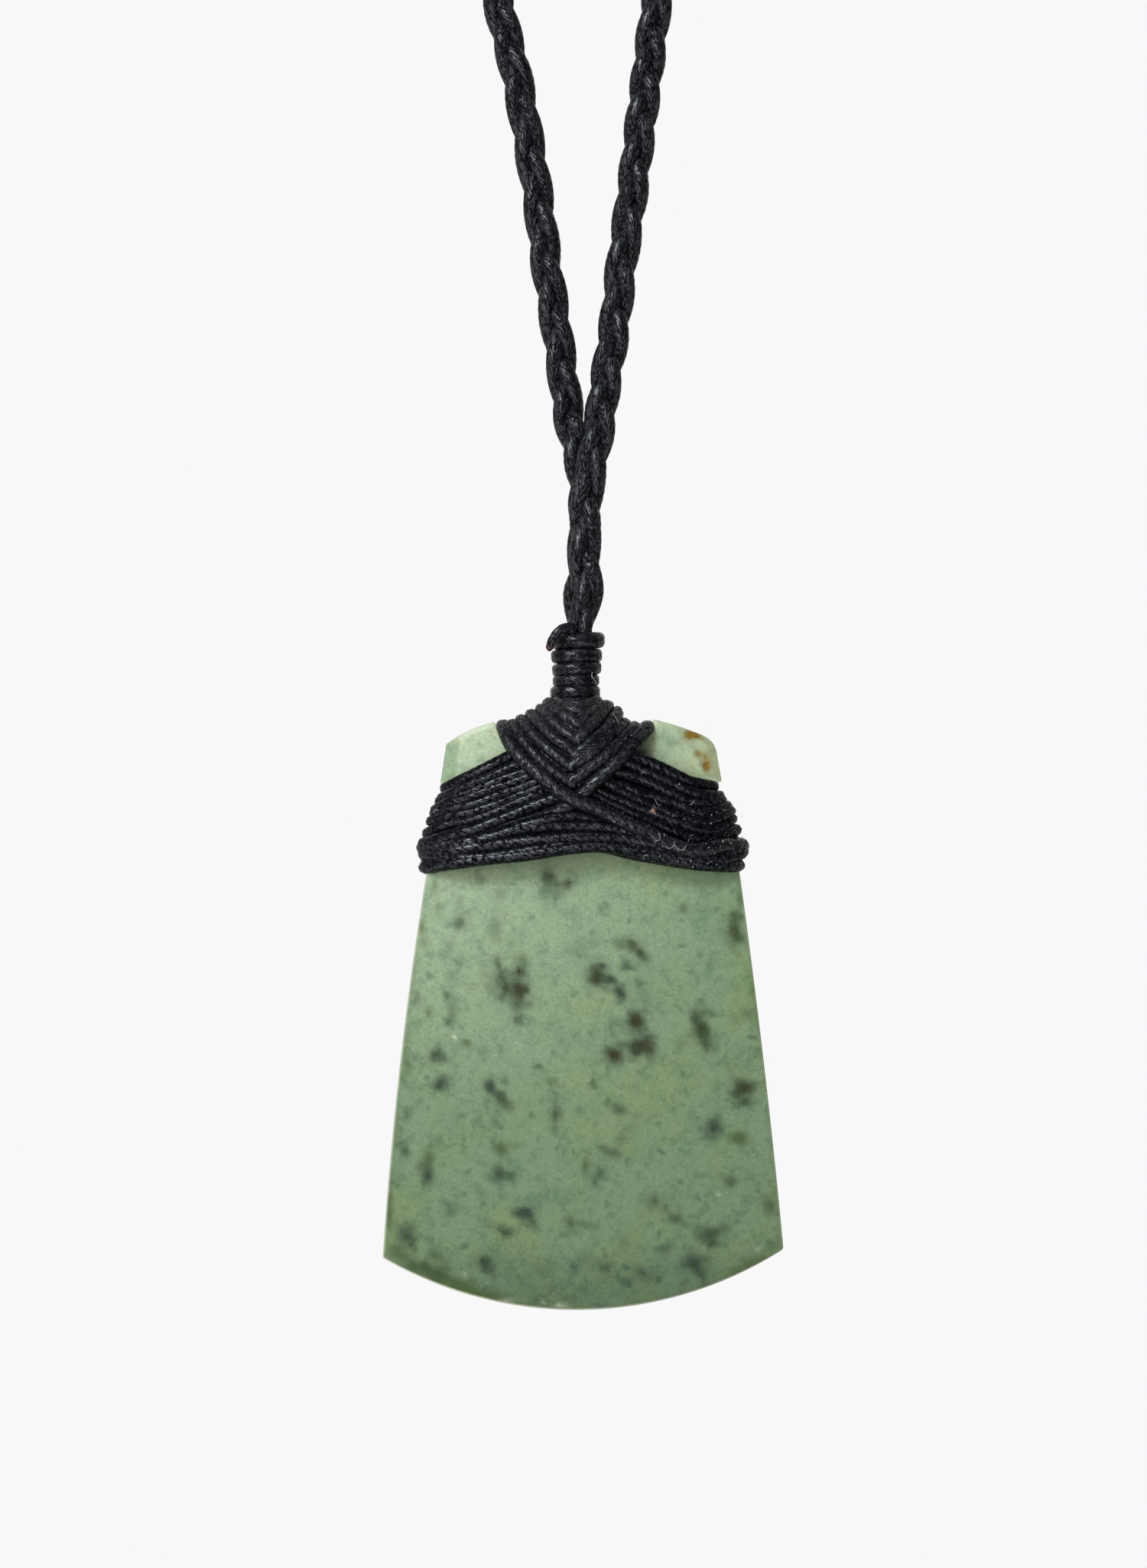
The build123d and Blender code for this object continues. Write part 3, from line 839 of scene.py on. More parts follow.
def stoneRims():
    # the face's left, right, top and foot rims, and the share across at which each column stands
    at = {name: fromPhoto(*spot) for name, spot in outline.items()}
    cuts = edges["arcCuts"]
    corners, flanks = {}, {}
    for side in ("Left", "Right"):
        corners[side] = [at[name + side] for name in ("head", "lug", "root", "seat", "shoulder")]
        flanks[side] = arcThrough(corners[side][-1], at["side" + side], at["foot" + side], cuts["flank"])
    headPlaces = crowdedPlaces(corners["Left"][:2], fromEnd=False)
    flankPlaces = crowdedPlaces(flanks["Left"], fromStart=False)

    def sideRim(side):
        stretches = [alongPolyline(corners[side][k:k + 2], np.linspace(0, 1, count + 1)[:-1])
                     for k, count in enumerate(edges["sideCuts"], 1)]
        return np.vstack([alongPolyline(corners[side][:2], headPlaces)[:-1], *stretches,
                          alongPolyline(flanks[side], flankPlaces)])

    # The top rim runs over the head's two horns and down into the saddle between them
    saddle = arcThrough(at["floorLeft"], at["floorMiddle"], at["floorRight"], cuts["saddle"])

    def wall(*spots):
        return alongPolyline(spots, np.linspace(0, 1, edges["wallCuts"] + 1)[1:-1])

    def horn(start, middle, end, fromStart):
        line = arcThrough(at[start], at[middle], at[end], cuts["horn"])
        return alongPolyline(line, crowdedPlaces(line, fromStart, not fromStart))

    top = np.vstack([horn("headLeft", "hornLeft", "saddleLeft", True),
                     wall(at["saddleLeft"], at["wallLeft"], saddle[0]), saddle,
                     wall(saddle[-1], at["wallRight"], at["saddleRight"]),
                     horn("saddleRight", "hornRight", "headRight", False)])
    run = runAlong(top)
    byWidth, byRun = edges["columnMix"]
    share = byWidth * (top[:, 0] - top[0, 0]) / (top[-1, 0] - top[0, 0]) + byRun * run / run[-1]
    foot = alongPolyline(arcThrough(at["footLeft"], at["footMiddle"], at["footRight"], cuts["foot"]), share)
    return sideRim("Left"), sideRim("Right"), top, foot, share


def roundCorner(points, corner, oneWay, otherWay, radius):
    # draws the points in, so that the corner between two edges becomes an arc
    oneWay, otherWay = (np.array(w) / np.hypot(*w) for w in (oneWay, otherWay))
    half = math.acos(oneWay @ otherWay) / 2
    inward = (oneWay + otherWay) / np.hypot(*(oneWay + otherWay))
    centre = corner + inward * radius / math.sin(half)
    normals = [-(inward - way * (inward @ way)) / math.sin(half) for way in (oneWay, otherWay)]
    away = points - centre
    length = np.maximum(np.hypot(*away.T), 1e-9)
    leans = [away @ normal / length for normal in normals]
    within = np.minimum(*leans) > normals[0] @ normals[1]
    within &= -(away @ inward) / length > 0
    return np.where(within[:, None], centre + away * np.maximum(*leans)[:, None], points)


def stoneFace():
    # the face's grid of points, a row after the other, and its rims
    left, right, top, foot, share = stoneRims()
    rimHeight = runAlong(left)
    topReach, topFade = edges["topPull"]
    footReach, footFade = edges["footPull"]
    topPull = np.clip(1 - rimHeight / topReach, 0, 1) ** topFade
    footPull = np.clip((rimHeight - rimHeight[-1] + footReach) / footReach, 0, 1) ** footFade
    straight = left[:, None, :] + (right - left)[:, None, :] * share[None, :, None]
    sheet = (straight + topPull[:, None, None] * (top - straight[0])[None]
             + footPull[:, None, None] * (foot - straight[-1])[None])
    headRadius, footRadius = edges["corners"]
    flat = roundCorner(sheet.reshape(-1, 2), top[-1], top[-3] - top[-1], right[3] - right[0], headRadius)
    flat = roundCorner(flat, foot[-1], foot[-9] - foot[-1], right[-9] - right[-1], footRadius)
    return flat, left, right, top, foot


def rimGaps(flat, left, right, top, foot):
    # distance of each point from what is ground at the rims: the facets of the head and the bevels
    headEnd = int(np.argmax(left[:, 1] < fromPhoto(0, outline["lugLeft"][1] - 1)[1]))
    rims = {"leftFacet": left[:headEnd + 1], "rightFacet": right[:headEnd + 1],
            "leftBevel": left[headEnd:], "rightBevel": right[headEnd:], "topBevel": top, "footBevel": foot}
    return {name: distanceTo(line, flat) for name, line in rims.items()}


stoneMarks = {"brown": brownMarks, "blue": blueMarks, "olive": oliveMarks, "rust": rustMarks,
              "paleAndHighlight": paleMarks}
chart = {
    "size": 0.6,                      # half of a mark's width, in part of the width it is charted with
    "ragged": 1.1,
    "near": 3,                        # sizes past which a mark is nothing
    "waves": ((1.3, 0.0, 0.55), (2.6, 7.0, 0.18)),    # scale, place and height of what makes it ragged
    "paleRagged": 0.4,
    "brownSize": 0.8,
    "halo": (1.6, 0.36),              # size and strength of the dark green round each brown mark
    # the back isn't in the photograph: it has the same stone, with marks fewer and moved
    "seed": 11,
    "backMoves": (90, 70, 60),
    "backShare": 0.7,
    "backBelow": 1100,
    "backTone": 0.9,
    # millimetres down from the head's top, or to the right of the middle, where each tone begins and is full
    "darkening": (9, 37),
    "foot": (34.76, 39.24),
    "leftward": (9, -9),
    "horn": (7, 4),
    "deep": (0.55, 0.5, 0.06),        # painted shade: how much from the darkening, the foot and the right
    "paintedSheen": (0.70, 0.24, 0.46),      # painted sheen: on the horns, more toward the left, and down the left
    "paintedSheenEnd": (0.625, 0),           # where the painted sheen down the left ends, in parts of the darkening
    "saddleShade": (-7.4, -5.2, 0.4),    # the left horn has less painted sheen toward the saddle: from, to, how much
    # the left facet faces the key lamp, so it is charted plainer: how far from the rim and how far
    # down, how much painted sheen it loses, and how much painted shade it has
    "facet": (1.15, 0.75),
    "facetDown": 6,
    "facetTones": (0.82, 0.05),
    "scratched": (0.25, 1.1, 1.3),    # everywhere, more toward the left, and less of that further down
    # painted highlights along the thin rims: width and fade, strengths, and a painted reflection in a strip
    # at the left horn's edge
    "rimHighlightWide": 0.11,
    "rimHighlightFade": 0.5,
    "rimHighlight": {"leftBevel": 0.35, "footBevel": 0.85, "rightBevel": 0.2, "topBevel": 0.2},
    "rimHighlightLow": 0.25,
    "rimHighlightAcross": (-13, 13, 0.6),
    "reflectionStrip": (0.34, 0.24),
    "reflectionStripFrom": (-8.9, -7.7, 0.34),
}


def charted(marks, x, z, wobble, size=1, share=1):
    # how strongly each mark shows at each point: soft blobs with ragged rims
    total = np.zeros(len(x))
    for column, row, wide, tall, lean, strength in marks:
        wide, tall = wide * size, tall * size
        cx, cz = fromPhoto(column, row)
        dx, dz = (x - cx) * photo["perMm"], (z - cz) * photo["perMm"]
        most = chart["near"] * max(wide, tall)
        near = (abs(dx) < most) & (abs(dz) < most)
        turn = math.radians(lean)
        a = dx[near] * math.cos(turn) + dz[near] * math.sin(turn)
        b = dz[near] * math.cos(turn) - dx[near] * math.sin(turn)
        reach = np.hypot(a / (wide * chart["size"]), b / (tall * chart["size"]))
        reach = reach * (1 + wobble[near] * chart["ragged"])
        blob = strength * share * np.exp(-np.maximum(reach, 0) ** 2)
        total[near] = 1 - (1 - total[near]) * (1 - blob)
    return total


def faceTones(x, z, gaps):
    # how much painted shade and painted sheen the stone has at each point, and how scratched it is
    down = headTop - z
    lowFace, leftward = ramp(down, *chart["darkening"]), ramp(x, *chart["leftward"])
    horn = ramp(down, *chart["horn"])
    # painted shade: darker down the face, at the foot and toward the right
    byDarkening, byFoot, byRight = chart["deep"]
    deep = byDarkening * lowFace + byFoot * ramp(down, *chart["foot"]) + byRight * (1 - leftward)
    # painted sheen on the horns, more toward the left and down the left, less toward the saddle
    onHorn, toLeft, downLeft = chart["paintedSheen"]
    shadeFrom, shadeTo, shade = chart["saddleShade"]
    paintedSheen = (horn * (onHorn + toLeft * leftward - shade * ramp(x, shadeFrom, shadeTo) * (x < 0))
             + downLeft * leftward * ramp(lowFace, *chart["paintedSheenEnd"]))
    facet = ramp(gaps["leftFacet"], *chart["facet"]) * (down < chart["facetDown"])
    lessPaintedSheen, facetDeep = chart["facetTones"]
    base, left, lower = chart["scratched"]
    return {"deep": np.clip(deep, 0, 1) * (1 - facet) + facetDeep * facet,
            "paintedSheen": paintedSheen * (1 - lessPaintedSheen * facet),
            "scratched": np.clip(base + leftward * np.clip(left - lower * lowFace, 0, 1), 0, 1)}


def faceMarks(x, z, gaps):
    # the strength of each kind of mark on the front and on the back
    wobble = np.array([sum(height * noise.noise((a * scale, place, b * scale))
                           for scale, place, height in chart["waves"]) for a, b in zip(x, z)])
    front = {name: charted(stoneMarks[name], x, z, wobble) for name in ("blue", "olive", "rust")}
    front["brown"] = charted(brownMarks, x, z, wobble, chart["brownSize"])
    front["blue"] = 1 - (1 - front["blue"]) * (1 - charted(brownMarks, x, z, wobble, *chart["halo"]))
    paleAndHighlight = charted(paleMarks, x, z, wobble * chart["paleRagged"])
    # a painted reflection in a strip along the left horn's top edge
    reflectionStripFrom, reflectionStripTo, reflectionStripStrength = chart["reflectionStripFrom"]
    reflectionStrip = ramp(headTop - z, *chart["horn"]) * (x < 0) * ramp(gaps["topBevel"], *chart["reflectionStrip"])
    paleAndHighlight = np.maximum(paleAndHighlight, reflectionStripStrength * reflectionStrip * ramp(x, reflectionStripFrom, reflectionStripTo))
    # painted highlights along the thin rims
    fromX, toX, lessRight = chart["rimHighlightAcross"]
    rimHighlight = dict(chart["rimHighlight"])
    rimHighlight["leftBevel"] = rimHighlight["leftBevel"] + chart["rimHighlightLow"] * ramp(headTop - z, *chart["darkening"])
    rimHighlight["footBevel"] = rimHighlight["footBevel"] - lessRight * ramp(x, fromX, toX)
    for rim, strength in rimHighlight.items():
        line = np.clip(1 - gaps[rim] / chart["rimHighlightWide"], 0, 1) ** chart["rimHighlightFade"]
        paleAndHighlight = np.maximum(paleAndHighlight, strength * line)
    front["paleAndHighlight"] = paleAndHighlight

    draw = np.random.RandomState(chart["seed"])
    aside, upward, turned = chart["backMoves"]
    back = {}
    for name, rows in stoneMarks.items():
        moved = [(c + draw.uniform(-aside, aside), r + draw.uniform(-upward, upward), w, t,
                  lean + draw.uniform(-turned, turned), s)
                 for c, r, w, t, lean, s in rows
                 if chart["backBelow"] < r and draw.uniform() < chart["backShare"]]
        back[name] = charted(moved, x, z, -wobble)
    return front, back


def buildStone(material):
    flat, *rims = stoneFace()
    gaps = rimGaps(flat, *rims)
    ground = [edges[name][1] * np.clip(1 - gap / edges[name][0], 0, 1) for name, gap in gaps.items()]
    depth = faceDepth(*flat.T)
    depth = depth - np.minimum(np.max(ground, axis=0), edges["mostGround"] * depth)
    tones = faceTones(*flat.T, gaps)
    front, back = faceMarks(*flat.T, gaps)

    # the chart holds for the plane of the face's middle, and the rest of the face lies behind it
    behind = (-depth - eyeY) / eyeBack
    x, z = eyeX + (flat[:, 0] - eyeX) * behind, eyeZ + (flat[:, 1] - eyeZ) * behind
    rows, columns = len(rims[0]), len(rims[2])
    index = np.arange(rows * columns).reshape(rows, columns)
    rim = np.concatenate([index[0], index[1:, -1], index[-1, -2::-1], index[-2:0:-1, 0]])
    ringCount = edges["sideRings"]
    shares = np.linspace(-1, 1, ringCount + 2)[1:-1]
    points = [np.column_stack([x, -depth, z]), np.column_stack([x, depth, z])]
    points += [np.column_stack([x[rim], share * depth[rim], z[rim]]) for share in shares]
    faces = gridQuads(rows, columns)
    quads = [faces, faces[:, ::-1] + index.size]
    rings = [2 * index.size + k * len(rim) + np.arange(len(rim)) for k in range(ringCount)]
    for upper, lower in zip([rim, *rings], [*rings, rim + index.size]):
        quads.append(np.column_stack([upper, lower, np.roll(lower, -1), np.roll(upper, -1)]))
    extra = []
    for name in stoneMarks:
        onRim = [front[name][rim] * (1 - share) / 2 + back[name][rim] * (1 + share) / 2 for share in shares]
        extra.append((name, np.concatenate([front[name], back[name], *onRim])))
    # the painted shade and sheen and the scratches, a little weaker on the back
    for name, values in tones.items():
        extra.append((name, np.concatenate([values, values * chart["backTone"]] + [values[rim]] * ringCount)))
    piece = meshOf("tokiStone", np.vstack(points), np.vstack(quads), None, extra)
    finishPiece(piece, "greenstone", material, "toki_blade")


# The thread wound round the stone

thread = {
    "radius": 0.475,
    "sides": 16,
    "step": 0.13,
    "clear": 0.06,            # off the stone
    "crown": (0.65, 9.8),     # the pile stands higher along the stone's middle line, and so far to each side
    "press": 0.80,            # neighbours press into each other: part of a diameter between them
    "corner": 0.95,           # bend round the stone's sides and over its top
    "cornerSteps": (1, 0.4, -0.4, -1),
    "routeStep": 0.3,         # between the places where a turn is laid on the others
    "ease": (0.6, 3.2),       # from its start a turn rises on the others within this length
    "limitPower": 3,          # how suddenly a rise is held back at its most
    "soften": (4, 7, 0.3),    # rounds, neighbours, and how much of the sharp form stays
    "skip": 4,                # steps of a turn's first arm that its second arm doesn't lie on
}
# Radius, the most that a turn rises over those under it, and its depth as a part of its width
winding = {
    "upper": (0.375, 0.7, 1.25),
    "lower": (1.1, 1.1),
    "lowerRadii": (0.44, 0.42, 0.42, 0.43, 0.45, 0.42, 0.44),
    "collar": (0.42, 1.7, 1.1),
    "rising": (0.49, 2.2, 1.0),
    "falling": (0.49, 2.6, 1.0),
    # the turns that lie under the others: sides, step and radius, and how high they pile
    "under": (8, 0.4, 0.45),
    "underShoulder": 0.5,
    "underCollar": 1.0,
    "underDrop": 10,          # pixels from a collar turn down to the one under it
}
# The fronts of the turns under the shoulder's: left end, the rows at these columns, and right end
underColumns = (640, 700, 752, 805, 870)
shoulderUnder = (
    ((588, 1038), (1012, 985, 968, 983, 1012), (928, 1036)),
    ((584, 1050), (1025, 1000, 985, 1003, 1032), (935, 1049)),
    ((576, 1064), (1042, 1018, 1002, 1022, 1052), (943, 1062)),
    ((571, 1078), (1058, 1036, 1022, 1040, 1068), (949, 1076)),
    ((565, 1093), (1076, 1056, 1046, 1058, 1084), (955, 1092)),
    ((561, 1106), (1096, 1080, 1070, 1078, 1098), (960, 1106)),
    ((562, 1118), (1110, 1096, 1090, 1096, 1110), (960, 1119)),
)
upperTurns = 7                # so many of the shoulder's turns lie under the collar
# Each turn's front, from its left flank to its right one, as pixels (column, row) of its middle
shoulderTurns = (
    ((586, 1030), (602, 1021), (622, 1011.5), (642, 1001.5), (668, 988), (700, 972), (752, 955), (800, 972),
     (838, 992), (862, 1003), (887, 1015), (903, 1022.5), (920, 1027), (929, 1028)),
    ((582, 1043), (598, 1034), (613, 1027), (628, 1021.5), (642, 1016), (658, 1008), (678, 1000), (700, 990),
     (752, 975), (795, 985), (825, 1000), (845, 1009), (865, 1018), (885, 1027.5), (902, 1035.5),
     (918, 1039), (937, 1041)),
    ((579, 1048), (593, 1042), (610, 1038), (628, 1031), (648, 1022.5), (668, 1015.5), (682, 1011),
     (700, 1003), (750, 985), (785, 1000), (812, 1011.5), (832, 1017.5), (852, 1025), (872, 1035),
     (888, 1043), (905, 1048.5), (925, 1050), (940, 1047)),
    ((573, 1059), (585, 1051), (602, 1046), (622, 1039.5), (642, 1032), (662, 1026), (685, 1018), (697, 1013),
     (720, 1003), (752, 992), (780, 1010), (802, 1024), (822, 1031.5), (838, 1038), (855, 1043),
     (872, 1047.5), (888, 1053), (903, 1060), (920, 1063), (940, 1058), (947, 1055)),
    ((572, 1063), (587, 1057.5), (608, 1054), (622, 1051), (642, 1043.5), (658, 1037), (682, 1029.5),
     (703, 1021.5), (725, 1010), (752, 1003), (790, 1022), (828, 1043), (848, 1051.5), (862, 1058),
     (885, 1067.5), (905, 1073), (925, 1074), (945, 1067), (952, 1062)),
    ((567.5, 1074), (577, 1070), (598, 1065), (618, 1062), (635, 1056.5), (655, 1049.5), (678, 1040),
     (695, 1034), (712, 1027.5), (735, 1018), (752, 1014), (775, 1029), (795, 1041), (815, 1049),
     (835, 1057.5), (852, 1063), (872, 1070.5), (892, 1078), (912, 1085), (928, 1086.5), (945, 1080),
     (954, 1072)),
    ((562.5, 1089), (572, 1083), (590, 1077), (615, 1073.5), (635, 1066.5), (652, 1060), (677, 1049),
     (698, 1040), (715, 1032.5), (740, 1025), (752, 1024), (770, 1034), (782, 1042), (805, 1053.5),
     (825, 1063), (845, 1071.5), (865, 1080.5), (885, 1089), (902, 1095), (922, 1097.5), (942, 1092),
     (959.5, 1086)),
    ((558, 1117), (600, 1119), (650, 1112), (700, 1106), (750, 1103), (780, 1104), (829, 1115.5),
     (858, 1120.5), (880, 1124.3), (901, 1127.5), (920, 1128.5), (938, 1126), (955, 1121), (968, 1114)),
    ((561, 1124), (640, 1119), (750, 1104), (829, 1112), (880, 1124), (904, 1128), (921, 1130), (937, 1131),
     (953, 1132), (963.5, 1131)),
    ((560, 1110), (620, 1098), (660, 1087), (700, 1075), (742, 1066), (770, 1070), (800, 1080), (840, 1094),
     (880, 1108), (930, 1113), (967, 1108)),
    ((557, 1112), (600, 1106), (645, 1093), (665, 1086.5), (690, 1082), (718, 1080.5), (750, 1080),
     (782, 1080.5), (812, 1085), (838, 1094), (870, 1108), (900, 1115), (930, 1115), (968, 1109)),
    ((556, 1109), (568, 1112), (585, 1113), (605, 1110), (625, 1106.7), (645, 1104), (668, 1101.5),
     (693, 1099), (718, 1096.7), (742, 1094.7), (765, 1094), (795, 1095), (820, 1097), (838, 1100.5),
     (862, 1107), (878, 1112), (900, 1118), (930, 1120), (966, 1113)),
    ((558, 1133.5), (575, 1131), (595, 1128), (619, 1124.5), (643, 1121.5), (668, 1119), (694, 1116),
     (718, 1112), (743, 1108.5), (768, 1106), (795, 1106), (820, 1108.3), (845, 1112), (872, 1117.5),
     (888, 1121), (910, 1123.5), (935, 1122), (966, 1115)),
)
# The collar's innermost turns lie in these rows, and are bent down by these pixels
coreRows = (922, 927)
coreBend = ((738, 0), (747, 3), (756, 4), (764, 3), (772, 0))
# The collar's turns, the innermost first. Each has a left arm and a right arm that cross at its foot
collarTurns = (
    (((730, 921), (739, 923), (749, 927), (758, 931)), ((754, 931), (764, 926), (771, 922), (778, 919))),
    (((719, 922), (726, 927), (734, 934), (744, 940), (755, 946), (763, 951)),
     ((746, 951), (755, 945), (764, 937), (775, 928), (784, 924))),
    (((709, 930), (716, 936), (725, 945.5), (735, 954), (746, 962), (757, 968), (766, 973)),
     ((744, 973), (755, 966), (761, 961.5), (770, 952.5), (780, 942), (789, 932), (793, 925))),
    (((696, 937), (703, 943), (712, 953), (722, 962.5), (734, 971), (746, 979), (757, 985), (768, 991)),
     ((746, 991), (757, 984), (766.5, 977), (779, 966.5), (791, 955), (802, 943), (806, 933.5))),
    (((683, 944), (690, 952), (698, 962), (708.5, 972), (720, 981.5), (732, 991), (745, 1000), (757, 1008)),
     ((736, 1008), (745, 1001), (755, 995.5), (765, 989), (779, 978.5), (792.5, 967), (806.5, 955),
      (816, 948))),
    (((671.5, 950), (680, 962), (690, 975), (700, 986.5), (711, 998), (722, 1007), (734, 1015), (746, 1022),
      (758, 1029)),
     ((736, 1029), (746, 1021), (754.5, 1015), (768, 1006), (784, 994), (798, 982), (813, 968), (824, 957),
      (829, 952.5))),
)
# The two diagonal turns, from a flank up over the head, and the shoulder turn laid between them
risingTurn = ((556, 1107), (575, 1105), (600, 1100), (628, 1092.5), (652, 1084.5), (675, 1077), (700, 1070),
              (718, 1065), (735, 1057), (750, 1047.5), (762, 1037.5), (772, 1027.5), (786, 1015),
              (801, 1001.5), (815, 988.5), (827, 974.5), (837.5, 961), (845, 952.5))
underTurn = ((557, 1103), (575, 1097), (602, 1089), (622, 1083.5), (638, 1077), (655, 1070.5), (678, 1061.5),
             (700, 1052), (718, 1045.5), (732, 1041), (748, 1042), (775, 1054), (800, 1067), (840, 1085),
             (870, 1100), (900, 1112), (930, 1113), (967, 1107))
fallingTurn = ((659, 951.5), (664, 965), (673, 980), (685, 994), (697, 1004.5), (709, 1015), (721.5, 1025),
               (733.5, 1035.5), (746, 1042.5), (761, 1049.5), (785, 1058.5), (805, 1068.5), (825, 1078.3),
               (845, 1086.7), (865, 1098), (885, 1106.5), (902, 1111.5), (922, 1110), (942, 1106),
               (968, 1105))


class Pile:
    # the front of the stone, with the threads laid on it so far
    def __init__(self):
        self.laid = np.zeros((0, 4))

    def over(self, flat, radius, laid, press):
        # how far out a thing of that radius lies where it rests on the threads
        if not len(laid):
            return np.zeros(len(flat))
        wide = (radius + laid[None, :, 3]) * press
        gap = np.hypot(flat[:, None, 0] - laid[None, :, 0], flat[:, None, 1] - laid[None, :, 1])
        rest = laid[None, :, 2] + np.sqrt(np.maximum(wide ** 2 - gap ** 2, 0))
        return np.where(gap < wide, rest, 0).max(axis=1)

    def settle(self, flat, radius, most, hold, skip):
        # depth of a thread's middle along its flat route: on the stone, or over what lies there
        height, reach = thread["crown"]
        seat = faceDepth(flat[:, 0], flat[:, 1]) + thread["radius"] + thread["clear"]
        seat = seat + height * np.clip(1 - (flat[:, 0] / reach) ** 2, 0, 1)
        laid = self.laid[:len(self.laid) - skip]
        lift = np.maximum(self.over(flat, radius, laid, thread["press"]) - seat, 0)
        power = thread["limitPower"]
        lift = lift / (1 + (lift / most) ** power) ** (1 / power)
        rounds, span, sharp = thread["soften"]
        for _ in range(rounds):
            wider = softened(lift, span)
            lift = np.maximum(wider, lift * sharp + wider * (1 - sharp))
        depth = seat + lift * hold
        self.laid = np.vstack([self.laid, np.column_stack([flat, depth, np.full(len(flat), radius)])])
        return depth


def layTurn(pile, parts, radius, most, step):
    # one closed turn: its front follows the parts in order, its back is the front's mirror image
    before, reach = thread["ease"]
    front = []
    for number, route in enumerate(parts):
        flat = smoothLine([fromPhoto(c, r, faceY - thread["radius"]) for c, r in route], thread["routeStep"])
        run = np.arange(len(flat)) * thread["routeStep"]
        hold = np.ones(len(flat))
        if number == 0:
            hold *= easeIn(run + before, reach)
        if number == len(parts) - 1:
            hold *= easeIn(run[-1] - run + before, reach)
        depth = pile.settle(flat, radius, most, hold, thread["skip"] if number else 0)
        front.append(np.column_stack([flat[:, 0], -depth, flat[:, 1]]))
    if len(front) > 1:
        # two arms meet where they cross
        front = [front[0][:-1], front[1][1:]]
    front = np.vstack(front)
    corner = thread["corner"]
    keep = ((np.linalg.norm(front - front[0], axis=1) > corner)
            & (np.linalg.norm(front - front[-1], axis=1) > corner))
    thin = front[keep][::2]

    def turnBack(spot, deep):
        x, z = fromPhoto(*spot, 0)
        return [(x, deep * share, z) for share in thread["cornerSteps"]]

    start, end = turnBack(parts[0][0], front[0, 1] + corner), turnBack(parts[-1][-1], front[-1, 1] + corner)
    return smoothLine([*thin, *end, *(thin[::-1] * (1, -1, 1)), *start[::-1]], step, closed=True)


def buildLashings(material, collarMaterial):
    pile = Pile()
    shoulder, collar = Bundle(), Bundle()

    def wind(bundle, parts, radius, most, deep):
        path = layTurn(pile, parts, radius, most, thread["step"])
        bundle.add(path, radius, thread["sides"], closed=True, deep=deep)

    def windUnder(bundle, parts, most):
        sides, step, radius = winding["under"]
        bundle.add(layTurn(pile, parts, radius, most, step), radius, sides, closed=True, relief=0)

    for start, rows, end in shoulderUnder:
        windUnder(shoulder, [(start, *zip(underColumns, rows), end)], winding["underShoulder"])
    for route in shoulderTurns[:upperTurns]:
        wind(shoulder, [route], *winding["upper"])
    for row in coreRows:
        windUnder(collar, [[(column, row + bend) for column, bend in coreBend]], winding["underCollar"])
    for arms in collarTurns:
        lower = [[(c, r + winding["underDrop"]) for c, r in arm] for arm in arms]
        windUnder(collar, lower, winding["underCollar"])
    for arms in collarTurns:
        wind(collar, arms, *winding["collar"])
    wind(collar, [risingTurn], *winding["rising"])
    for route, radius in zip((*shoulderTurns[upperTurns:], underTurn), winding["lowerRadii"]):
        wind(shoulder, [route], radius, *winding["lower"])
    wind(collar, [fallingTurn], *winding["falling"])
    finishPiece(shoulder.piece("shoulderTurns"), "waxed_thread", material, "shoulder_lashing")
    finishPiece(collar.piece("collarTurns"), "waxed_thread", collarMaterial, "collar_lashing")
    return pile


# Lint and dust that cling to the wax

lint = {
    "hairs": (
        ((857, 1046.5), (860, 1051.5), (864.5, 1052.5)), ((901, 1052), (905, 1051), (908, 1046)),
        ((860.5, 1088), (862.4, 1092.5), (862, 1096.8), (858.5, 1098.6), (855.3, 1100.4), (855.4, 1103.5)),
        ((868.4, 1105.5), (873.5, 1108.6), (878, 1107.3), (881, 1103.6), (879.8, 1100)),
        ((881, 1103.6), (885.5, 1109.2), (891.8, 1110.5), (896.2, 1105.5), (900.6, 1098), (902, 1092.8),
         (907, 1091.4)),
        ((840.5, 1123), (841.9, 1118.5), (846.5, 1117)), ((801, 932), (805, 938), (809, 946)),
        ((838, 1012), (842, 1009), (845, 1012)), ((566, 1063), (570, 1058), (573, 1060)),
    ),
    "hairRadius": 0.02,
    "hairSides": 6,
    "hairStep": 0.05,
    "clear": 0.06,            # off the threads
    # one hair at the whipping's right: column, row and depth, and how much thicker it is
    "whippingHair": ((774.6, 879, -1.95), (774, 884.5, -2.1), (778.5, 890, -2.0), (781, 895.5, -1.8)),
    "whippingHairThicker": 1.3,
    # the brown flake is a bent scrap, as thin as paper
    "flake": ((849, 1061), (853, 1055), (856, 1058), (858, 1066)),
    "flakeClear": 0.05,
    "flakeBend": 0.12,
    "flakeThick": 0.03,
    "specks": (
        # column, row and radius in pixels
        (803, 1074, 1.5), (888, 1025, 1.2), (945, 1100, 1.3), (925, 1129, 1.1), (937, 1130, 1.2),
        (906, 1133, 1.1), (929.6, 1076.4, 1.3), (930.3, 1065.3, 1.2), (947, 1059, 1.0), (937.6, 1062, .9),
        (955.5, 1102.3, 1.1), (902.8, 1125, 1.4), (926, 1107.7, 1.0), (868, 1092, .9), (866, 1105.7, .9),
        (882.3, 1099.8, .8), (569, 1059, .9), (862, 1119, .9), (640, 1052, .8), (712, 1108, .8),
        (876, 1075, .8), (820, 1049, .8),
    ),
    "seed": 5,
    # first column and row, last column and row, and how many specks are strewn between them
    "dust": ((868, 1045, 972, 1132, 70), (565, 1050, 860, 1125, 40), (690, 925, 830, 1020, 25)),
    "dustRadius": (0.35, 0.7),
    "speckShape": (0.5, 0.95),    # how far a speck's corners stand out, in parts of its radius
}


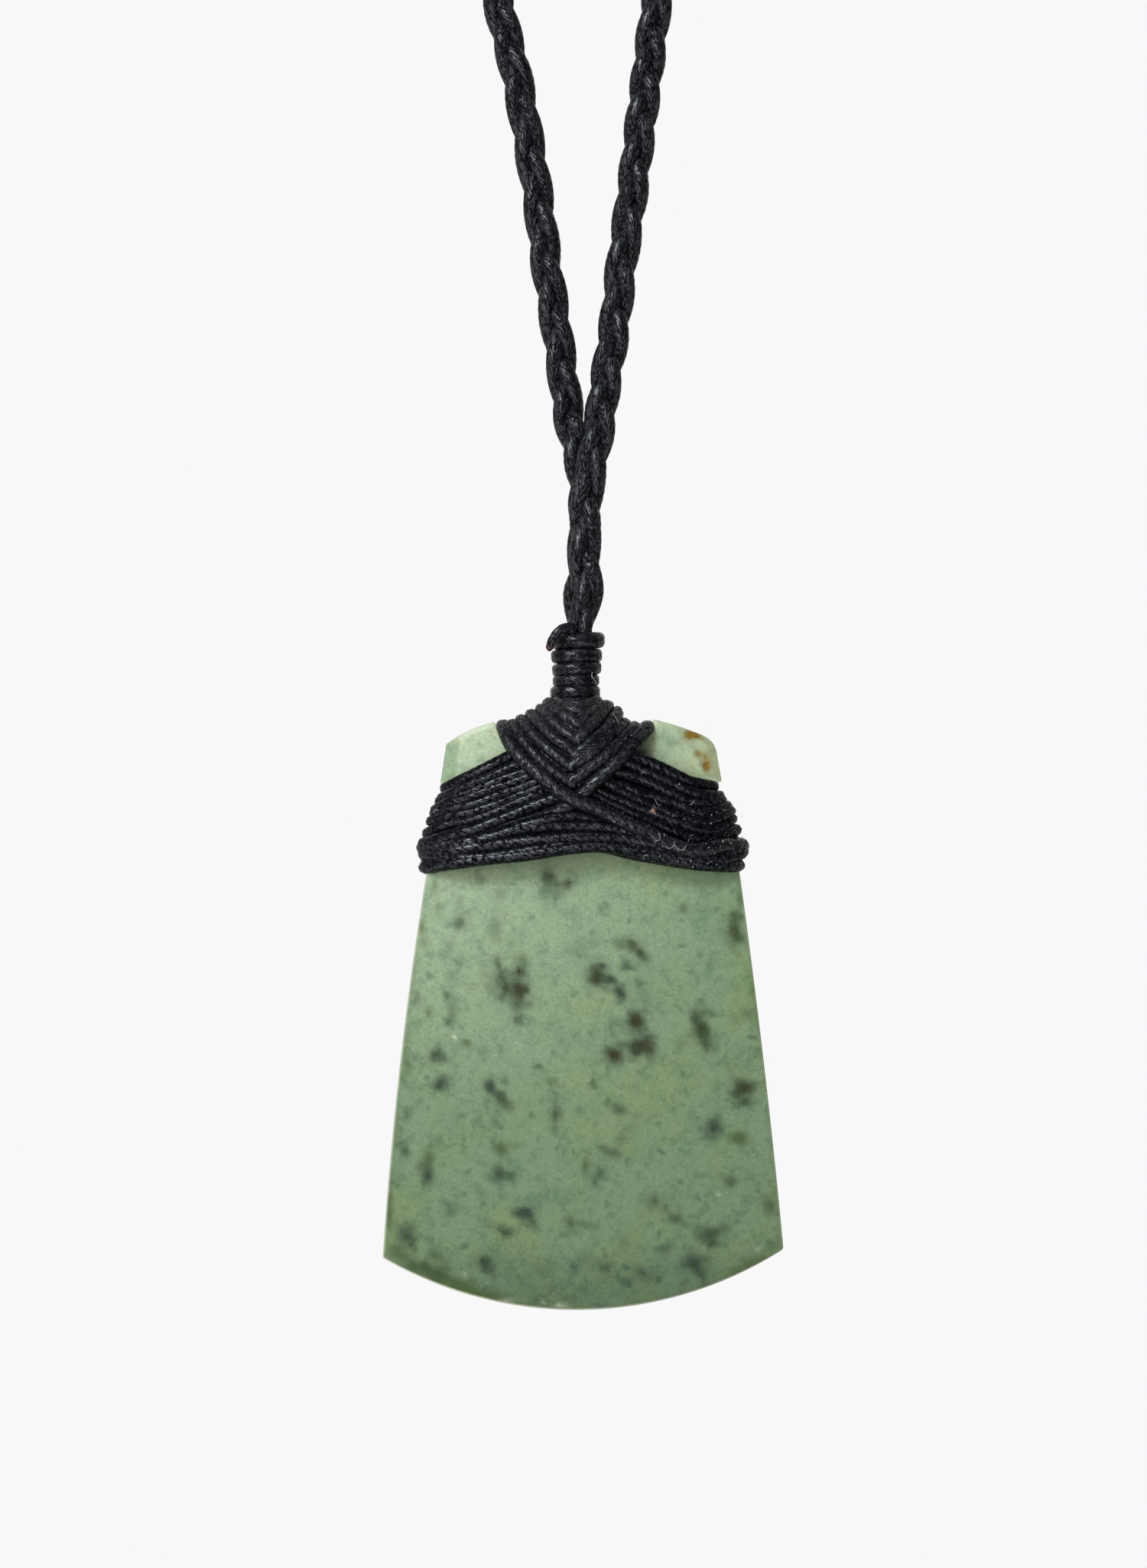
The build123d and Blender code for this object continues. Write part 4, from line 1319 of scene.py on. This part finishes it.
def buildLint(pile, material, flakeMaterial):
    def place(spots, radius):
        flat = np.array([fromPhoto(c, r, faceY - 2 * thread["radius"]) for c, r in spots])
        out = pile.over(flat, radius, pile.laid, 1) + lint["clear"]
        return np.column_stack([flat[:, 0], -np.maximum(out, faceDepth(*flat.T) + radius), flat[:, 1]])

    bundle = Bundle()

    def addHair(points, radius):
        bundle.add(smoothLine(points, lint["hairStep"]), radius, lint["hairSides"], relief=0)

    for route in lint["hairs"]:
        addHair(place(route, lint["hairRadius"]), lint["hairRadius"])
    loose = np.array([(*fromPhoto(c, r, y), y) for c, r, y in lint["whippingHair"]])
    addHair(loose[:, (0, 2, 1)], lint["hairRadius"] * lint["whippingHairThicker"])
    draw = np.random.RandomState(lint["seed"])
    specks = list(lint["specks"])
    for left, top, right, bottom, count in lint["dust"]:
        specks += [(draw.uniform(left, right), draw.uniform(top, bottom), draw.uniform(*lint["dustRadius"]))
                   for _ in range(count)]
    middles = place([spot[:2] for spot in specks], lint["hairRadius"])
    cube = np.array([(a, b, c) for a in (-1, 1) for b in (-1, 1) for c in (-1, 1)])
    cubeSides = np.array([(0, 1, 3, 2), (4, 6, 7, 5), (0, 4, 5, 1), (2, 3, 7, 6), (0, 2, 6, 4), (1, 5, 7, 3)])
    for middle, spot in zip(middles, specks):
        size = spot[2] / photo["perMm"] * draw.uniform(*lint["speckShape"], (8, 1))
        bundle.join(middle + cube * size, cubeSides, np.zeros((6, 4, 2)))
    finishPiece(bundle.piece("lint"), "waxed_thread", material)

    scrap = place(lint["flake"], lint["flakeClear"])
    scrap[1, 1] -= lint["flakeBend"]
    scrapSides = np.array([(0, 1, 2, 3), (7, 6, 5, 4), (0, 4, 5, 1), (1, 5, 6, 2), (2, 6, 7, 3),
                           (3, 7, 4, 0)])
    scrap = np.vstack([scrap, scrap + (0, lint["flakeThick"], 0)])
    finishPiece(meshOf("brownFlake", scrap, scrapSides, smooth=False), "waxed_thread", flakeMaterial)


# The whipping over the head, the thread's end and the join at the nape

whipping = {
    # row of each turn's middle at its left and right, its left and right rims, and its radius
    "turns": ((839, 837, 720.5, 791.5, 0.54), (858.5, 857, 720, 788, 0.47), (876.5, 873, 721.5, 787, 0.45),
              (891, 889.5, 722.3, 784.2, 0.42), (906, 905, 719, 785.2, 0.46)),
    "deep": 1.2,              # how much deeper than wide the bundle is
    "packed": 0.97,           # part of a turn's radius that its thread has, with the braid on it
    "braid": 0.8,             # worn smoother than on the stone
    "sides": 18,
    "points": 16,
}


def buildWhipping(material):
    bundle = Bundle()
    for leftRow, rightRow, leftRim, rightRim, radius in whipping["turns"]:
        x0, z0 = fromPhoto(leftRim, leftRow, 0)
        x1, z1 = fromPhoto(rightRim, rightRow, 0)
        half, middle = (x1 - x0) / 2 - radius, (x0 + x1) / 2
        turn = np.arange(whipping["points"]) * 2 * math.pi / whipping["points"]
        loop = np.column_stack([middle + half * np.cos(turn), half * whipping["deep"] * np.sin(turn),
                                (z0 + z1) / 2 + (z1 - z0) / 2 * np.cos(turn)])
        bundle.add(smoothLine(loop, thread["step"], closed=True), radius * whipping["packed"],
                   whipping["sides"], closed=True, flat=True, relief=whipping["braid"])
    finishPiece(bundle.piece("neckWhipping"), "waxed_thread", material, "neck_whipping")


tail = {
    # column, row and depth, from the whipping out to the melted tip
    "route": ((752, 824, -1.6), (742, 821.5, -1.9), (734, 823, -2.15), (727.5, 828, -2.2), (723, 834.5, -2.2),
              (720.3, 841, -2.15), (719, 846, -2.1), (718, 850.5, -2.0)),
    "step": 0.08,
    "radius": (0.39, 0.23),
    "uneven": (0.02, 9),      # height and number of the swellings along it
    "roundEnds": (0.06, 0.25),
    "sides": 16,
    "braid": 0.8,
    "melted": 0.2,            # up from the tip's middle
}


def buildTail(material, meltMaterial):
    points = [(*fromPhoto(column, row, y), y) for column, row, y in tail["route"]]
    path = smoothLine(np.array(points)[:, (0, 2, 1)], tail["step"])
    run = np.linspace(0, 1, len(path))
    thick, thin = tail["radius"]
    swell, waves = tail["uneven"]
    bundle = Bundle()
    bundle.add(path, thick + (thin - thick) * run + swell * np.sin(run * waves), tail["sides"],
               relief=tail["braid"], ends=roundEnds(run, *tail["roundEnds"]))
    piece = bundle.piece("threadEnd")
    piece.data.materials.append(material)
    finishPiece(piece, "waxed_thread", meltMaterial, "thread_end")
    tip = path[-1][2] + tail["melted"]
    heights = np.array([piece.data.vertices[p.vertices[0]].co.z for p in piece.data.polygons]) / mm
    piece.data.polygons.foreach_set("material_index", (heights < tip).astype(np.int32))


nape = {
    "turns": 5,
    "points": 20,
    "lean": (0.1, 2.1),       # how far the turns lean, and how the lean changes from one to the next
    "square": (0.94, 0.07),   # the turns round the two runs side by side are a little square
    "step": 0.14,
    "sides": 14,
}


def buildNape(material):
    low, high = boxOf("nape_whipping")
    radius = thread["radius"]
    height, deep = (high[2] - low[2]) / 2 - radius, (high[1] - low[1]) / 2 - radius
    pitch = (high[0] - low[0] - 2 * radius) / (nape["turns"] - 1)
    leaning, change = nape["lean"]
    plain, square = nape["square"]
    a = np.arange(nape["points"]) * 2 * math.pi / nape["points"]
    reach = plain + square * np.cos(4 * a + math.pi)
    bundle = Bundle()
    for turn in range(nape["turns"]):
        x = low[0] + radius + turn * pitch
        lean = leaning * math.sin(turn * change)
        loop = np.column_stack([x + lean * np.cos(a), deep * reach * np.cos(a),
                                (low[2] + high[2]) / 2 + height * reach * np.sin(a)])
        bundle.add(smoothLine(loop, nape["step"], closed=True), radius, nape["sides"], closed=True)
    finishPiece(bundle.piece("napeWhipping"), "waxed_thread", material, "nape_whipping")


# The neck cord: two runs of a three-strand plait

plait = {
    "sway": 0.56,         # how far a strand swings to each side
    "weave": 0.42,        # and to the front and back
    "strand": 0.555,
    "sides": 14,
    "lineStep": 0.1,
    "fineStep": 0.14,     # where the photograph shows it, and a little past that
    "coarseStep": 0.32,
    "finePast": 3,
    "reliefPast": (1, -1),    # the braid's relief fades out here, counted from where the fine steps end
    "notch": 3.15,        # between notches on one edge, where the photograph doesn't show them
    "spareNotches": 200,
    "firstPhase": -0.4,   # in notches, at the run's foot
    "soften": 25,         # points of the line over which the strands' turn is evened out
    "napeRadius": 40,
    "lean": 8.75,
    "apart": 1.1,         # the left run lies this far behind the middle plane, the right one before it
    # how much of that each of the first points has
    "settle": (0.6, 0.6, 0.64, 0.7, 0.8, 0.86, 0.9, 0.95),
    "overlap": 9.0,
    "straightPoints": 14,
    "arcPoints": 16,
    "entry": (2.9, 3.2),  # the length inside the whipping, and over which the plait opens
    "thin": 0.72,         # the sway and the weave in the whipping
    "squeezed": 0.6,      # part of a strand's radius that stays however thin the plait is
    "roundEnds": (0.4, 0.02),
    "strandShift": 0.37,  # from one strand's grains to the next one's
}
# column, row of each run's middle, from the whipping up to the photograph's top edge
leftRun = ((755, 885), (756, 850), (757, 822), (756, 800), (758, 775), (762, 745), (763, 715), (764, 690),
           (764, 665), (764, 640), (761, 615), (756, 590), (745, 550), (735, 480), (725.5, 412), (714.5, 345),
           (701, 241), (675, 99), (652, 0))
rightRun = ((755, 885), (755, 850), (760, 822), (765, 800), (768, 775), (767, 745), (765, 715), (765, 690),
            (767, 660), (770, 630), (776, 600), (783.5, 560), (789, 520), (795, 480), (804.5, 420),
            (813, 348), (828, 241), (846, 99), (859, 0))
# rows of the notches on the left run's left edge and on the right run's right edge
leftNotches = (808, 756, 682, 635, 582, 524, 455, 385, 317, 247, 177, 107, 45)
rightNotches = (808, 738, 668, 599, 540, 481, 421, 356, 284, 225, 163, 107, 50)


def runRoute(side, rows, depths):
    # the whole run in 3-D: charted up to the photograph's edge, then straight on and round to the nape
    lean, radius = math.radians(plait["lean"]), plait["napeRadius"]
    low, high = boxOf("nape_whipping")
    centreZ = (low[2] + high[2]) / 2 - radius
    points = []
    for (column, row), y in zip(rows, depths):
        x, z = fromPhoto(column, row, y)
        points.append((x, y, z))
    start = np.array([points[-1][0], points[-1][2]])
    tangent = np.array([side * radius * math.cos(lean), centreZ - radius * math.sin(lean)])
    for share in np.linspace(0, 1, plait["straightPoints"])[1:]:
        x, z = start + (tangent - start) * share
        points.append((x, depths[-1], z))
    last = math.pi / 2 + plait["overlap"] / 2 / radius
    for turn in np.linspace(-lean, last, plait["arcPoints"])[1:]:
        points.append((side * radius * math.cos(turn), depths[-1], centreZ + radius * math.sin(turn)))
    return np.array(points)


def plaitPhase(run, line, notches, y):
    # the turn of the strands at each point of the run, and how far up the photograph shows notches
    notchZ = [fromPhoto(0, row, y)[1] for row in notches]
    visible = line[:, 2] <= notchZ[-1]
    notchRun = np.interp(notchZ, np.maximum.accumulate(line[visible][:, 2]), run[visible])
    beyond = notchRun[-1] + plait["notch"] * np.arange(1, plait["spareNotches"])
    places = np.concatenate([[0], notchRun, beyond])
    counts = np.concatenate([[plait["firstPhase"]], np.arange(len(places) - 1)])
    phase = np.interp(run, places, counts) * (2 * math.pi / 3)
    return softened(phase, plait["soften"]), notchRun[-1]


def buildRun(name, side, rows, notches, material, node):
    y = -side * plait["apart"]
    settle = np.ones(len(rows))
    settle[:len(plait["settle"])] = plait["settle"]
    line = smoothLine(runRoute(side, rows, y * settle), plait["lineStep"])
    run = runAlong(line)
    phase, shown = plaitPhase(run, line, notches, y)
    fineEnd = shown + plait["finePast"]
    coarse = np.linspace(fineEnd, run[-1], int((run[-1] - fineEnd) / plait["coarseStep"]))
    places = np.concatenate([np.arange(0, fineEnd, plait["fineStep"]), coarse])
    middle = pointsAt(places, run, line)
    angle = np.interp(places, run, phase)
    ahead = np.gradient(middle, axis=0)
    ahead /= np.linalg.norm(ahead, axis=1)[:, None]
    depthWay = np.array([0.0, 1.0, 0.0])
    across = np.cross(ahead, depthWay)
    across /= np.linalg.norm(across, axis=1)[:, None]
    across *= -1 if across[0, 0] < 0 else 1
    inside, opening = plait["entry"]
    squeeze = plait["thin"] + (1 - plait["thin"]) * easeIn(places - inside, opening)
    radius = plait["strand"] * (plait["squeezed"] + (1 - plait["squeezed"]) * squeeze)
    fadeEnd, fadeStart = plait["reliefPast"]
    relief = ramp(places, fineEnd + fadeEnd, fineEnd + fadeStart)
    ends = roundEnds(places, *plait["roundEnds"])
    bundle = Bundle()
    for strand in range(3):
        # the right run's strands stand half a turn further on
        turn = side * angle + strand * 2 * math.pi / 3 + math.pi * (side + 1) / 2
        swing = plait["sway"] * np.cos(turn) * squeeze
        weave = plait["weave"] * np.sin(2 * turn) * side * squeeze
        path = middle + across * swing[:, None] - depthWay * weave[:, None]
        bundle.add(path, radius, plait["sides"], relief=relief, ends=ends,
                   start=strand * plait["strandShift"])
    finishPiece(bundle.piece(name), "plaited_cord", material, node)
    print(name, "line", round(run[-1], 1), "mm")


setStage()
buildStone(stoneMaterial())
threadFinish = threadMaterial("waxedThread", lashingLook)
collarFinish = threadMaterial("handledThread", collarLook)
cordFinish = threadMaterial("plaitedThread", cordLook)
pile = buildLashings(threadFinish, collarFinish)
buildLint(pile, plainMaterial("paleLint"), plainMaterial("brownScrap"))
buildWhipping(collarFinish)
buildTail(collarFinish, plainMaterial("meltedThread"))
buildNape(threadFinish)
buildRun("neckPlaitLeft", -1, leftRun, leftNotches, cordFinish, "neck_plait_left")
buildRun("neckPlaitRight", 1, rightRun, rightNotches, cordFinish, "neck_plait_right")

print("pieces made")
